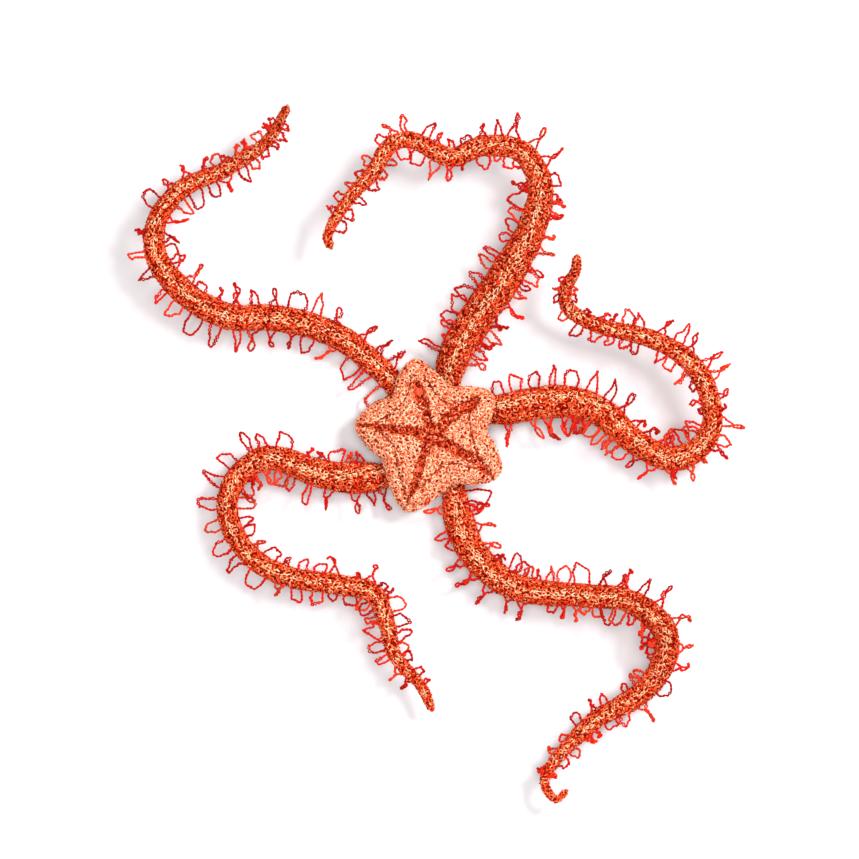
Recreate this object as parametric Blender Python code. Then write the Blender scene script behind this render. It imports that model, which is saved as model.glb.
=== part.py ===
"""A brittle star sewn from thread: a padded star-shaped disc with five wandering arms that are
edged with loops of twisted thread. It lies on the roots of its arms and on the pad under its disc.

The frame has +Z up and +Y towards the head of the piece, and its origin on the resting plane,
under the middle of the disc. Sizes here are in millimetres, and MM turns them into metres.
"""

import math
import random

import bmesh
import bpy
from mathutils import Vector

MM = 0.001
GAP = 0.3  # between pieces that touch
SEED = 7

# The sewn pad in the middle of the underside, which the arms start from
UNDER_PAD_RADIUS = 5.2
UNDER_PAD_ROUNDING = 0.8
UNDER_PAD_SIDES = 20

# The arms
ARM_SIDES = 10
ARM_STEP = 3.4  # from one ring of the tube to the next
ARM_ROOT_RADIUS = 2.0
ROUTE_STEP = 0.25
FLOOR_SNAP = 0.3  # what lies lower than this is pressed flat on the resting plane
TIP_ROUNDING = 0.55  # share of the radius left at the very end
LENGTH_NAMES = ("root", "near", "middle", "far", "tip")

# The loops that edge the arms
LOOP_THREAD = 0.6  # thickness of the twisted thread
LOOP_REACH = 4.2  # how far a full-sized loop stands out from the arm
LOOP_WIDTH = 2.4  # between its two feet
LOOP_SPACING = 6.0  # from one loop to the next on the same side
LOOP_ROOT = 1.0  # how deep its feet are sunk into the arm
LOOP_LEAN = 1.0  # how far its far end may lean along the arm
LOOP_STAGGER = 0.12  # how far the two sides are out of step, as a share of the spacing
LOOP_BENDS = 5
LOOP_FULL_SIZE_RADIUS = 2.6  # on an arm thinner than this, the loops are smaller
FIRST_LOOP = 12.0  # from the arm's start under the disc
TIP_WITHOUT_LOOPS = 4.5

# Each arm: the bearing at which it leaves the pad, then its route, as x, y, height of its axis
# and radius. Where the height equals the radius, the arm lies on the resting plane.
ARMS = {
    "arm_upper_left": (
        125.0,
        (
            (-7.9, 11.3, 2.7, 2.7),
            (-14.0, 17.5, 2.9, 2.9),
            (-22.4, 23.4, 5.0, 3.0),
            (-34.5, 27.0, 6.6, 3.1),
            (-47.0, 27.6, 7.4, 3.1),
            (-56.6, 32.9, 8.2, 3.0),
            (-62.9, 40.8, 9.4, 2.7),
            (-63.0, 49.0, 10.5, 2.4),
            (-57.3, 56.6, 11.0, 2.2),
            (-47.0, 61.3, 11.0, 1.9),
            (-37.6, 67.6, 11.4, 1.5),
            (-32.8, 75.7, 12.8, 1.1),
        ),
    ),
    "arm_upper": (
        70.0,
        (
            (4.0, 11.4, 2.7, 2.7),
            (4.8, 17.0, 3.7, 3.7),
            (8.9, 24.8, 4.4, 4.1),
            (17.4, 37.2, 6.8, 4.1),
            (23.4, 48.3, 9.0, 3.4),
            (25.0, 58.0, 10.2, 3.0),
            (20.6, 65.3, 11.0, 2.6),
            (12.2, 66.6, 11.6, 2.5),
            (4.4, 64.0, 11.6, 2.3),
            (-4.8, 68.0, 11.5, 2.0),
            (-9.8, 66.2, 11.5, 2.0),
            (-13.0, 61.0, 11.4, 1.9),
            (-19.8, 53.2, 11.0, 1.5),
            (-23.7, 46.2, 10.0, 1.2),
            (-22.8, 43.0, 9.4, 1.1),
        ),
    ),
    "arm_right": (
        23.5,
        (
            (11.6, 5.4, 2.9, 2.9),
            (18.5, 6.4, 3.8, 3.8),
            (28.5, 8.0, 4.3, 3.9),
            (38.2, 6.1, 5.2, 3.5),
            (46.8, -1.2, 6.0, 3.0),
            (55.0, -5.2, 6.6, 3.0),
            (62.2, -2.2, 8.4, 2.7),
            (64.6, 5.6, 10.8, 2.4),
            (60.5, 15.8, 11.0, 2.4),
            (51.4, 22.0, 10.2, 2.2),
            (39.0, 25.2, 9.4, 1.9),
            (31.9, 28.9, 9.6, 1.7),
            (30.8, 33.6, 11.6, 1.6),
            (33.0, 37.6, 13.6, 1.35),
            (33.5, 41.4, 14.8, 1.1),
        ),
    ),
    "arm_lower_right": (
        297.0,
        (
            (5.2, -12.0, 2.8, 2.8),
            (6.6, -20.2, 3.6, 3.6),
            (11.0, -28.6, 4.4, 3.4),
            (20.0, -35.0, 5.6, 3.2),
            (33.0, -36.6, 6.8, 2.8),
            (44.4, -37.6, 7.8, 2.8),
            (52.6, -43.0, 8.2, 3.0),
            (54.0, -50.2, 8.0, 3.0),
            (48.6, -58.9, 7.2, 2.7),
            (37.8, -65.4, 6.4, 2.2),
            (29.4, -73.7, 6.0, 1.6),
            (26.1, -79.4, 6.2, 1.2),
            (28.6, -83.6, 6.8, 1.0),
            (31.3, -81.4, 7.2, 0.9),
        ),
    ),
    "arm_lower_left": (
        219.0,
        (
            (-9.8, -8.7, 2.9, 2.9),
            (-16.5, -9.6, 3.8, 3.8),
            (-25.0, -8.8, 4.6, 3.4),
            (-36.8, -5.0, 5.6, 2.9),
            (-43.8, -8.6, 5.8, 2.7),
            (-47.0, -16.0, 5.8, 2.5),
            (-43.4, -25.6, 6.4, 2.5),
            (-34.4, -31.9, 6.6, 2.5),
            (-22.0, -34.1, 6.4, 2.5),
            (-13.6, -36.0, 6.1, 2.4),
            (-10.2, -43.0, 6.0, 2.1),
            (-8.4, -50.4, 6.0, 1.7),
            (-2.4, -57.4, 5.8, 1.4),
            (0.4, -63.3, 5.6, 1.1),
        ),
    ),
}

# The disc's outline from above, as bearings and reaches from its middle: for each lobe the notch
# before it, its rising flank, its tip and its falling flank
OUTLINE = (
    (4.0, 13.1), (19.0, 15.2), (34.0, 17.4), (48.4, 15.2),
    (68.0, 12.6), (87.0, 15.2), (102.0, 18.4), (120.0, 15.6),
    (133.0, 13.1), (153.7, 15.7), (171.0, 17.8), (190.0, 15.0),
    (207.0, 12.7), (234.0, 15.6), (252.5, 18.5), (275.0, 14.4),
    (297.5, 12.5), (314.5, 15.8), (331.0, 18.3), (347.0, 16.0),
)
NOTCH_REACH = 12.5
LOBE_REACH = 17.6
DISC_AROUND = 60

# Heights of the disc
UNDERSIDE_MIDDLE = 6.6
UNDERSIDE_LOBE_TIP = 4.7
DRAPE_CLEARANCE = 0.6  # the disc keeps this far above the arms that it lies on
THICKNESS_MIDDLE = 4.9
THICKNESS_EDGE = 3.0
HUB_HOLLOW = 0.8  # how far the disc's middle is drawn down
HUB_HOLLOW_WIDTH = 4.5

# The crease that runs round inside the edge, a puffed hem outside it
CREASE_SHARE_AT_NOTCH = 0.74
CREASE_SHARE_AT_LOBE = 0.88
CREASE_HALF_WIDTH = 0.055
CREASE_DEPTH = 0.6

# The red star let into the disc, one ray along the middle of each lobe
RAY_BEARINGS = (37.0, 104.5, 171.5, 252.0, 330.0)
RAY_HALF_WIDTH = 1.25
RAY_TIP_HALF_WIDTH = 0.4
RAY_REACH = 14.2
STAR_SUNK = 0.9  # how far its face lies below the pads
CUT_PAST_EDGE = 3.0

DISC_PAD_NAMES = {
    "disc_pad_right": 3.0,
    "disc_pad_upper": 70.0,
    "disc_pad_upper_left": 138.0,
    "disc_pad_lower_left": 212.0,
    "disc_pad_lower_right": 292.0,
}

COLOURS = {
    "orange_thread": (0.72, 0.10, 0.02, 1.0),
    "peach_thread": (0.90, 0.42, 0.22, 1.0),
    "red_thread": (0.60, 0.05, 0.015, 1.0),
}


def clear_scene():
    for thing in list(bpy.data.objects):
        bpy.data.objects.remove(thing)


def collection_named(name):
    made = bpy.data.collections.new(name)
    bpy.context.scene.collection.children.link(made)
    return made


def thread_material(name):
    material = bpy.data.materials.new(name)
    material.use_nodes = True
    shader = material.node_tree.nodes["Principled BSDF"]
    shader.inputs["Base Color"].default_value = COLOURS[name]
    shader.inputs["Roughness"].default_value = 0.6
    shader.inputs["Metallic"].default_value = 0.0
    material.diffuse_color = COLOURS[name]
    return material


def object_from(builder, name, collection):
    """Turns a bmesh into a named object whose faces point out."""
    bmesh.ops.recalc_face_normals(builder, faces=builder.faces)
    mesh = bpy.data.meshes.new(name)
    builder.to_mesh(mesh)
    builder.free()
    made = bpy.data.objects.new(name, mesh)
    collection.objects.link(made)
    return made


def finish_node(node, material):
    """Gives a sub-part its material and smooth shading that breaks at sharp edges."""
    node.data.materials.clear()
    node.data.materials.append(material)
    node.data.shade_smooth()
    node.data.set_sharp_from_angle(angle=math.radians(50))


def evaluated_mesh(thing):
    bpy.context.view_layer.update()
    graph = bpy.context.evaluated_depsgraph_get()
    return bpy.data.meshes.new_from_object(thing.evaluated_get(graph))


def tube(name, points, radii, sides, collection):
    """A tube through the points, as a mesh object with welded caps. Each radius is to a corner."""
    curve = bpy.data.curves.new(name, "CURVE")
    curve.dimensions = "3D"
    curve.twist_mode = "Z_UP"
    curve.use_fill_caps = True
    if sides == 3:
        section = bpy.data.curves.new(f"{name}_section", "CURVE")
        section.dimensions = "2D"
        outline = section.splines.new("POLY")
        outline.use_cyclic_u = True
        outline.points.add(sides - 1)
        for k, corner in enumerate(outline.points):
            turn = 2 * math.pi * (k + 0.25) / sides
            corner.co = (MM * math.cos(turn), MM * math.sin(turn), 0.0, 1.0)
        section_object = bpy.data.objects.new(section.name, section)
        collection.objects.link(section_object)
        curve.bevel_mode = "OBJECT"
        curve.bevel_object = section_object
    else:
        curve.bevel_depth = MM
        curve.bevel_resolution = sides // 2 - 2
    spline = curve.splines.new("POLY")
    spline.points.add(len(points) - 1)
    for place, point, radius in zip(spline.points, points, radii):
        place.co = (*(point * MM), 1.0)
        place.radius = radius
        place.tilt = math.pi / sides
    holder = bpy.data.objects.new(name, curve)
    collection.objects.link(holder)
    builder = bmesh.new()
    builder.from_mesh(evaluated_mesh(holder))
    bmesh.ops.remove_doubles(builder, verts=builder.verts, dist=0.002 * MM)
    bpy.data.objects.remove(holder)
    if sides == 3:
        bpy.data.objects.remove(section_object)
    return object_from(builder, name, collection)


def surfaces_of(builder):
    """The closed surfaces of a bmesh, each as a set of its vertices."""
    unseen = set(builder.verts)
    surfaces = []
    while unseen:
        first = unseen.pop()
        surface = {first}
        to_follow = [first]
        while to_follow:
            vertex = to_follow.pop()
            for edge in vertex.link_edges:
                other = edge.other_vert(vertex)
                if other in unseen:
                    unseen.discard(other)
                    surface.add(other)
                    to_follow.append(other)
        surfaces.append(surface)
    return surfaces


def keep_largest_surface(node):
    """Drops loose scraps and sealed hollows, so that one closed surface is left."""
    builder = bmesh.new()
    builder.from_mesh(node.data)
    surfaces = surfaces_of(builder)
    largest = max(surfaces, key=len)
    others = [vertex for surface in surfaces if surface is not largest for vertex in surface]
    bmesh.ops.delete(builder, geom=others, context="VERTS")
    builder.to_mesh(node.data)
    builder.free()


def apply_boolean(node, operation, solver, other):
    """Joins a node with, or cuts it by, an object or a collection of closed objects."""
    modifier = node.modifiers.new(operation, "BOOLEAN")
    modifier.operation = operation
    modifier.solver = solver
    if isinstance(other, bpy.types.Collection):
        modifier.operand_type = "COLLECTION"
        modifier.collection = other
    else:
        modifier.object = other
    result = evaluated_mesh(node)
    node.modifiers.clear()
    node.data = result


def smooth_blend(t):
    return 3 * t**2 - 2 * t**3


class Route:
    """A smooth line through an arm's points, measured along its length, with its radius."""

    def __init__(self, bearing, listed):
        turn = math.radians(bearing)
        out = Vector((math.cos(turn), math.sin(turn), 0))
        first = out * (UNDER_PAD_RADIUS + GAP) + Vector((0, 0, ARM_ROOT_RADIUS))
        places = [first, *(Vector(entry[:3]) for entry in listed)]
        radii = [ARM_ROOT_RADIUS, *(entry[3] for entry in listed)]
        self.points = [places[0]]
        self.radii = [radii[0]]
        self.lengths = [0.0]
        behind = places[1] - out * 2 * (places[1] - places[0]).length
        padded = [behind, *places, 2 * places[-1] - places[-2]]
        for k in range(len(places) - 1):
            before, start, end, after = padded[k : k + 4]
            leaving = (end - before) / 2
            arriving = (after - start) / 2
            steps = max(2, round((end - start).length / ROUTE_STEP))
            for step in range(1, steps + 1):
                t = step / steps
                point = start.lerp(end, smooth_blend(t))
                point += leaving * (t**3 - 2 * t**2 + t)
                point += arriving * (t**3 - t**2)
                self.lengths.append(self.lengths[-1] + (point - self.points[-1]).length)
                self.points.append(point)
                self.radii.append(radii[k] + (radii[k + 1] - radii[k]) * smooth_blend(t))
        self.length = self.lengths[-1]

    def at(self, distance):
        """The point and the radius at a distance along the route."""
        low, high = 0, len(self.lengths) - 1
        distance = min(max(distance, 0.0), self.length)
        while high - low > 1:
            middle = (low + high) // 2
            if self.lengths[middle] > distance:
                high = middle
            else:
                low = middle
        t = (distance - self.lengths[low]) / (self.lengths[high] - self.lengths[low])
        radius = self.radii[low] + (self.radii[high] - self.radii[low]) * t
        return self.points[low].lerp(self.points[high], t), radius

    def directions(self, distance):
        """Unit vectors along the arm, to its right and up from it."""
        along = (self.at(distance + 0.5)[0] - self.at(distance - 0.5)[0]).normalized()
        right = along.cross(Vector((0, 0, 1))).normalized()
        return along, right, right.cross(along)


def square_end(made, centre, along):
    """Turns a tube's end face square to the route: as made, it is square to its last straight
    run, and two lengths that meet in a bend would cross."""
    for vertex in made.data.vertices:
        offset = vertex.co / MM - centre
        if abs(offset.dot(along)) < ARM_STEP / 3:
            vertex.co -= along * offset.dot(along) * MM


def length_of_arm(name, route, start, end, collection):
    """One length of stitched tube, pressed flat below where it lies on the resting plane."""
    rings = max(4, round((end - start) / ARM_STEP) + 1)
    distances = [start + (end - start) * k / (rings - 1) for k in range(rings)]
    points, radii = zip(*(route.at(distance) for distance in distances))
    radii = list(radii)
    if end == route.length:
        radii[-1] *= TIP_ROUNDING
    made = tube(name, points, radii, ARM_SIDES, collection)
    square_end(made, points[0], route.directions(start)[0])
    square_end(made, points[-1], route.directions(end)[0])
    for vertex in made.data.vertices:
        if vertex.co.z < FLOOR_SNAP * MM:
            vertex.co.z = 0.0
    return made


def loop_shape(reach, width, twist, lean, lift):
    """A loop's line, as distances along the arm, out from its side and up.

    The thread leaves one foot, turns round at the far end and comes back to the other foot. The
    loop may be twisted about its own middle, which crosses its legs and leaves an eye.
    """
    shape = [(width / 2, -LOOP_ROOT, 0.0)]
    for k in range(LOOP_BENDS):
        turn = math.pi * (k + 0.5) / LOOP_BENDS
        out = math.sin(turn)
        half = math.cos(turn) * width / 2 * (1 + 0.4 * out)
        along = half * math.cos(twist * out) + lean * out**2
        up = half * math.sin(twist * out) + lift * out**2
        shape.append((along, reach * out, up))
    shape.append((-width / 2, -LOOP_ROOT, 0.0))
    return shape


def thread_loop(route, distance, side, room, draw, collection):
    """One loop on the arm's side, smaller where the arm is thin. It leans by no more than the
    room that it has on each side within its own length of arm."""
    centre, radius = route.at(distance)
    along, right, up = route.directions(distance)
    size = min(1.0, radius / LOOP_FULL_SIZE_RADIUS)
    width = LOOP_WIDTH * (0.4 + 0.6 * size)
    lean = draw.uniform(-LOOP_LEAN, LOOP_LEAN) * size
    shape = loop_shape(
        LOOP_REACH * size * draw.uniform(0.85, 1.2),
        width,
        draw.choice((0.0, 0.0, math.radians(50), math.radians(-50))),
        min(max(lean, width - room[0]), room[1] - width),
        draw.uniform(-0.3, 1.0) * size,
    )
    foot = centre + right * side * radius
    points = [foot + along * a + right * side * out + up * rise for a, out, rise in shape]
    for point in points:
        point.z = max(point.z, LOOP_THREAD)
    thickness_to_corner = LOOP_THREAD / 1.5
    return tube("loop", points, [thickness_to_corner] * len(points), 3, collection)


def build_arm(name, route, collection, material):
    """An arm in five lengths that meet end to end, each fused with the loops that grow from it."""
    draw = random.Random(f"{SEED} {name}")
    cut_every = route.length / len(LENGTH_NAMES)
    for k, length_name in enumerate(LENGTH_NAMES):
        is_first = k == 0
        is_last = k == len(LENGTH_NAMES) - 1
        start = 0.0 if is_first else k * cut_every + GAP / 2
        end = route.length if is_last else (k + 1) * cut_every - GAP / 2
        node = length_of_arm(f"{name}_{length_name}", route, start, end, collection)
        loops = collection_named("loops")
        first = FIRST_LOOP if is_first else start
        final = end - TIP_WITHOUT_LOOPS if is_last else end
        count = round((final - first) / LOOP_SPACING)
        for side in (-1, 1):
            for n in range(count):
                distance = first + (final - first) * (n + 0.5 + LOOP_STAGGER * side) / count
                room = (distance - start, end - distance)
                thread_loop(route, distance, side, room, draw, loops)
        apply_boolean(node, "UNION", "MANIFOLD", loops)
        for loop in list(loops.objects):
            bpy.data.objects.remove(loop)
        bpy.data.collections.remove(loops)
        keep_largest_surface(node)
        finish_node(node, material)


def outline_reach(bearing):
    """How far the disc's outline lies from its middle, by a smooth line through its marks."""
    bearing %= 360
    count = len(OUTLINE)
    following = next((k for k in range(count) if OUTLINE[k][0] > bearing), 0)
    marks = []
    for offset in (-2, -1, 0, 1):
        angle, reach = OUTLINE[(following + offset) % count]
        marks.append((angle, reach))
    turned = [(angle - bearing + 180) % 360 - 180 for angle, reach in marks]
    reaches = [reach for angle, reach in marks]
    span = turned[2] - turned[1]
    t = -turned[1] / span
    leaving = (reaches[2] - reaches[0]) / (turned[2] - turned[0]) * span
    arriving = (reaches[3] - reaches[1]) / (turned[3] - turned[1]) * span
    reach = reaches[1] + (reaches[2] - reaches[1]) * smooth_blend(t)
    return reach + leaving * (t**3 - 2 * t**2 + t) + arriving * (t**3 - t**2)


def lobe_share(bearing):
    """Near 0 at the bearing of a notch and near 1 at a lobe's tip."""
    share = (outline_reach(bearing) - NOTCH_REACH) / (LOBE_REACH - NOTCH_REACH)
    return min(max(share, 0.0), 1.0)


def top_of_arms(x, y, routes):
    """Height of the arms at a point, or 0 beside them, with the clearance that the disc keeps."""
    highest = 0.0
    for route in routes:
        for point, radius in zip(route.points, route.radii):
            kept = radius + DRAPE_CLEARANCE
            off = math.hypot(point.x - x, point.y - y)
            if off < kept:
                highest = max(highest, point.z + math.sqrt(kept**2 - off**2))
    return highest


def underside_height(bearing, share, routes):
    """The disc's underside: level in the middle, drooping to the lobes' tips, and lifted where
    it lies on an arm."""
    reach = outline_reach(bearing) * share
    turn = math.radians(bearing)
    droop = (UNDERSIDE_MIDDLE - UNDERSIDE_LOBE_TIP) * lobe_share(bearing) * share**2
    lying = top_of_arms(reach * math.cos(turn), reach * math.sin(turn), routes)
    return max(UNDERSIDE_MIDDLE - droop, lying)


def disc_rings(bearing):
    """From the middle of the top round to the middle of the underside: the share of the
    outline's reach, the share of the thickness, and how far it is pressed in."""
    crease = CREASE_SHARE_AT_NOTCH
    crease += (CREASE_SHARE_AT_LOBE - CREASE_SHARE_AT_NOTCH) * lobe_share(bearing)
    outside = crease + CREASE_HALF_WIDTH
    return (
        (0.0, 1.0, 0.0),
        (0.2, 1.0, 0.0),
        (0.42, 1.0, 0.0),
        (0.62, 0.97, 0.0),
        (crease - CREASE_HALF_WIDTH, 0.92, 0.0),
        (crease, 0.9, CREASE_DEPTH),
        (outside, 0.92, 0.0),
        ((outside + 1) / 2, 0.86, 0.0),
        (1.0, 0.45, 0.0),
        (0.95, 0.06, 0.0),
        (0.75, 0.0, 0.0),
        (0.4, 0.0, 0.0),
        (0.0, 0.0, 0.0),
    )


def whole_disc(name, sunk, routes, collection):
    """The padded disc before it is parted, its face lowered by sunk.

    A profile with one point a ring is spun round, and then each point is set in its place.
    """
    last_ring = len(disc_rings(0.0)) - 1
    builder = bmesh.new()
    profile = []
    for ring in range(last_ring + 1):
        is_pole = ring in (0, last_ring)
        profile.append(builder.verts.new((0.0 if is_pole else 1.0, 0.0, -ring)))
    edges = [builder.edges.new(pair) for pair in zip(profile, profile[1:])]
    bmesh.ops.spin(
        builder,
        geom=profile + edges,
        axis=(0, 0, 1),
        cent=(0, 0, 0),
        angle=2 * math.pi,
        steps=DISC_AROUND,
        use_merge=True,
    )
    bmesh.ops.remove_doubles(builder, verts=builder.verts, dist=0.0001)
    for vertex in builder.verts:
        ring = round(-vertex.co.z)
        bearing = math.degrees(math.atan2(vertex.co.y, vertex.co.x)) % 360
        share, rise, pressed = disc_rings(bearing)[ring]
        edge_height = underside_height(bearing, 0.95, routes)
        under = UNDERSIDE_MIDDLE + (edge_height - UNDERSIDE_MIDDLE) * share**2
        if rise < 0.1:
            under = max(under, underside_height(bearing, share, routes))
        reach = outline_reach(bearing) * share
        thickness = THICKNESS_MIDDLE + (THICKNESS_EDGE - THICKNESS_MIDDLE) * share**2
        hollow = HUB_HOLLOW * math.exp(-((reach / HUB_HOLLOW_WIDTH) ** 2)) * rise
        height = under + thickness * rise - pressed - hollow - sunk * rise
        turn = math.radians(bearing)
        vertex.co = Vector((reach * math.cos(turn), reach * math.sin(turn), height)) * MM
    return object_from(builder, name, collection)


def star_prism(name, widened, runs_past_edge, collection):
    """An upright prism with the red star's outline. The cutter's rays run on as thin slits past
    the edge of the disc, so that they part it into pads."""
    corners = []
    count = len(RAY_BEARINGS)
    for k, bearing in enumerate(RAY_BEARINGS):
        turn = math.radians(bearing)
        out = Vector((math.cos(turn), math.sin(turn)))
        across = Vector((-out.y, out.x))
        past = outline_reach(bearing) + CUT_PAST_EDGE
        half = RAY_TIP_HALF_WIDTH + widened
        corners.append(out * (RAY_REACH + widened) - across * half)
        if runs_past_edge:
            corners.append(out * (RAY_REACH + widened) - across * GAP / 2)
            corners.append(out * past - across * GAP / 2)
            corners.append(out * past + across * GAP / 2)
            corners.append(out * (RAY_REACH + widened) + across * GAP / 2)
        corners.append(out * (RAY_REACH + widened) + across * half)
        half_angle = math.radians((RAY_BEARINGS[(k + 1) % count] - bearing) % 360) / 2
        inner_reach = (RAY_HALF_WIDTH + widened) / math.sin(half_angle)
        between = turn + half_angle
        corners.append(Vector((math.cos(between), math.sin(between))) * inner_reach)
    builder = bmesh.new()
    face = builder.faces.new([builder.verts.new((*(corner * MM), 0.0)) for corner in corners])
    raised = bmesh.ops.extrude_face_region(builder, geom=[face])["geom"]
    top = [item for item in raised if isinstance(item, bmesh.types.BMVert)]
    bmesh.ops.translate(builder, verts=top, vec=(0, 0, 20 * MM))
    bmesh.ops.triangulate(builder, faces=builder.faces)
    return object_from(builder, name, collection)


def build_disc_pads(routes, collection, cutters, material):
    """The five peach pads, cut from one disc so that their hems follow one outline."""
    disc = whole_disc("disc", 0.0, routes, cutters)
    apply_boolean(disc, "DIFFERENCE", "EXACT", star_prism("star_cutter", GAP, True, cutters))
    whole = bmesh.new()
    whole.from_mesh(disc.data)
    for surface in surfaces_of(whole):
        middle = sum((vertex.co for vertex in surface), Vector()) / len(surface)
        bearing = math.degrees(math.atan2(middle.y, middle.x))
        name = min(
            DISC_PAD_NAMES,
            key=lambda pad: abs((DISC_PAD_NAMES[pad] - bearing + 180) % 360 - 180),
        )
        indices = {vertex.index for vertex in surface}
        builder = bmesh.new()
        builder.from_mesh(disc.data)
        others = [vertex for vertex in builder.verts if vertex.index not in indices]
        bmesh.ops.delete(builder, geom=others, context="VERTS")
        finish_node(object_from(builder, name, collection), material)
    whole.free()
    bpy.data.objects.remove(disc)


def build_disc_star(routes, collection, cutters, material):
    """The red star that fills the grooves between the pads, its face lower than theirs."""
    star = whole_disc("disc_star", STAR_SUNK, routes, collection)
    prism = star_prism("star_outline", 0.0, False, cutters)
    apply_boolean(star, "INTERSECT", "EXACT", prism)
    keep_largest_surface(star)
    finish_node(star, material)


def build_underside_pad(collection, material):
    """The round pad between the resting plane and the disc, with flat faces."""
    height = (UNDERSIDE_MIDDLE - GAP) * MM
    builder = bmesh.new()
    bmesh.ops.create_cone(
        builder,
        cap_ends=True,
        segments=UNDER_PAD_SIDES,
        radius1=UNDER_PAD_RADIUS * MM,
        radius2=UNDER_PAD_RADIUS * MM,
        depth=height,
    )
    bmesh.ops.translate(builder, verts=builder.verts, vec=(0, 0, height / 2))
    rims = [edge for edge in builder.edges if abs(edge.verts[0].co.z - edge.verts[1].co.z) < 1e-6]
    bmesh.ops.bevel(
        builder,
        geom=rims,
        offset=UNDER_PAD_ROUNDING * MM,
        affect="EDGES",
        segments=2,
        profile=0.5,
        material=-1,
    )
    finish_node(object_from(builder, "disc_underside", collection), material)


def main():
    clear_scene()
    brittle_star = collection_named("brittle_star")
    cutters = collection_named("cutters")
    materials = {name: thread_material(name) for name in COLOURS}
    routes = {name: Route(*described) for name, described in ARMS.items()}
    for name, route in routes.items():
        build_arm(name, route, brittle_star, materials["orange_thread"])
    under_disc = list(routes.values())
    build_disc_pads(under_disc, brittle_star, cutters, materials["peach_thread"])
    build_disc_star(under_disc, brittle_star, cutters, materials["red_thread"])
    build_underside_pad(brittle_star, materials["peach_thread"])
    for cutter in cutters.objects:
        cutter.hide_render = True
        cutter.display_type = "WIRE"


main()
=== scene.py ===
# %% [markdown]
# A brittle star sewn from thread, as a textile worker makes it: each arm is a soft roll covered all
# over with small curling stitches, edged on both sides with loops of twisted red thread, and the
# disc is a padded star with a red star of stitches sunk into it. Everything is built round the
# imported model, in its frame, so nothing has to be fitted afterwards.

# %% Load the frame
import math

import bmesh
import bpy
import numpy as np
from mathutils import Matrix
from mathutils.bvhtree import BVHTree
from mathutils.kdtree import KDTree


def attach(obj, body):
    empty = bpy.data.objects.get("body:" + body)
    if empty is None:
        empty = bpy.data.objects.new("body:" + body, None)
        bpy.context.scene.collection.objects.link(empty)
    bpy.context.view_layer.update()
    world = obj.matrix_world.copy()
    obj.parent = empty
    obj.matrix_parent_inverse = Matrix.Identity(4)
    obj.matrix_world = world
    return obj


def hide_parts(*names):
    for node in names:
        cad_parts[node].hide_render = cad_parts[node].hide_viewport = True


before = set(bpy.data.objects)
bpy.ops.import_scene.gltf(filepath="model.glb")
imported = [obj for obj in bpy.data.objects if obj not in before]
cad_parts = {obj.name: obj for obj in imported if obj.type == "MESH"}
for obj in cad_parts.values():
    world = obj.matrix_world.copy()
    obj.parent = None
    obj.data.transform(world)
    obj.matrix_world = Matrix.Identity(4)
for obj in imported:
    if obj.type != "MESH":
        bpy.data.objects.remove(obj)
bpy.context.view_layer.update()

# %% [markdown]
# Sizes are in millimetres and are turned into metres when a mesh is made. The photograph looks
# straight down on the piece, which is 23 hundredths of a millimetre a pixel.

# %% Measures that everything shares
MM = 0.001
SEED = 7
MM_PER_PIXEL = 0.23
MIDDLE_PIXEL = (431.0, 436.0)
PHOTO_PIXELS = 859
UP = np.array((0.0, 0.0, 1.0))
FLOOR_CLEARANCE = 0.04


def from_photo(px, py):
    """Where a pixel of the photograph lies on the piece, in millimetres."""
    return (px - MIDDLE_PIXEL[0]) * MM_PER_PIXEL, (MIDDLE_PIXEL[1] - py) * MM_PER_PIXEL


print("left edge of the photograph at", round(from_photo(0, 0)[0], 1), "mm")

# %% [markdown]
# The camera hangs high over the piece, so that its sides hardly show, as in the photograph. A long
# lens from far away does this. The ground is pale card, lit until it is white. One soft light stands
# to the upper right, about 50 degrees up, and casts the shadows. A larger one overhead fills them
# from above, a weak one low on the other side lifts the shaded flanks, and a dim room does the rest.

# %% Camera and light
CAMERA_HEIGHT = 1600.0
# The height over the card at which the photograph's scale holds
SCALE_HEIGHT = 7.0
SENSOR = 36.0
SIGHT_IN_METRES = 100.0
# Each softbox: its place, the diameter of its disc, both in metres, and its power in watts
SOFTBOXES = {
    "key_softbox": ((0.545, 0.34, 0.765), 0.31, 9.0),
    "fill_softbox": ((-0.76, -0.47, 0.27), 0.5, 2.4),
    "overhead_softbox": ((0.0, 0.0, 1.9), 1.0, 25.5),
}
ROOM_STRENGTH = 0.44


def put_in_scene(name, data, place=(0.0, 0.0, 0.0)):
    """Makes an object of the data at a place, and links it to the scene."""
    made = bpy.data.objects.new(name, data)
    made.location = place
    bpy.context.scene.collection.objects.link(made)
    return made


frame_width = PHOTO_PIXELS * MM_PER_PIXEL
centre_x, centre_y = from_photo(PHOTO_PIXELS / 2, PHOTO_PIXELS / 2)
camera_data = bpy.data.cameras.new("camera")
camera_data.sensor_width = SENSOR
camera_data.lens = SENSOR * (CAMERA_HEIGHT - SCALE_HEIGHT) / frame_width
camera_data.clip_end = SIGHT_IN_METRES
camera_place = (centre_x * MM, centre_y * MM, CAMERA_HEIGHT * MM)
bpy.context.scene.camera = put_in_scene("camera", camera_data, camera_place)
bpy.context.scene.view_settings.view_transform = "Standard"

for name, (place, size, power) in SOFTBOXES.items():
    lamp_data = bpy.data.lights.new(name, "AREA")
    lamp_data.shape = "DISK"
    lamp_data.size = size
    lamp_data.energy = power
    lamp = put_in_scene(name, lamp_data, place)
    lamp.rotation_euler = lamp.location.to_track_quat("Z", "Y").to_euler()

world = bpy.data.worlds.new("studio")
world.use_nodes = True
room = world.node_tree.nodes["Background"]
room.inputs["Color"].default_value = (1.0, 1.0, 1.0, 1.0)
room.inputs["Strength"].default_value = ROOM_STRENGTH
bpy.context.scene.world = world
print("lens", round(camera_data.lens, 1), "mm, frame", round(frame_width, 1), "mm wide")

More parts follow.
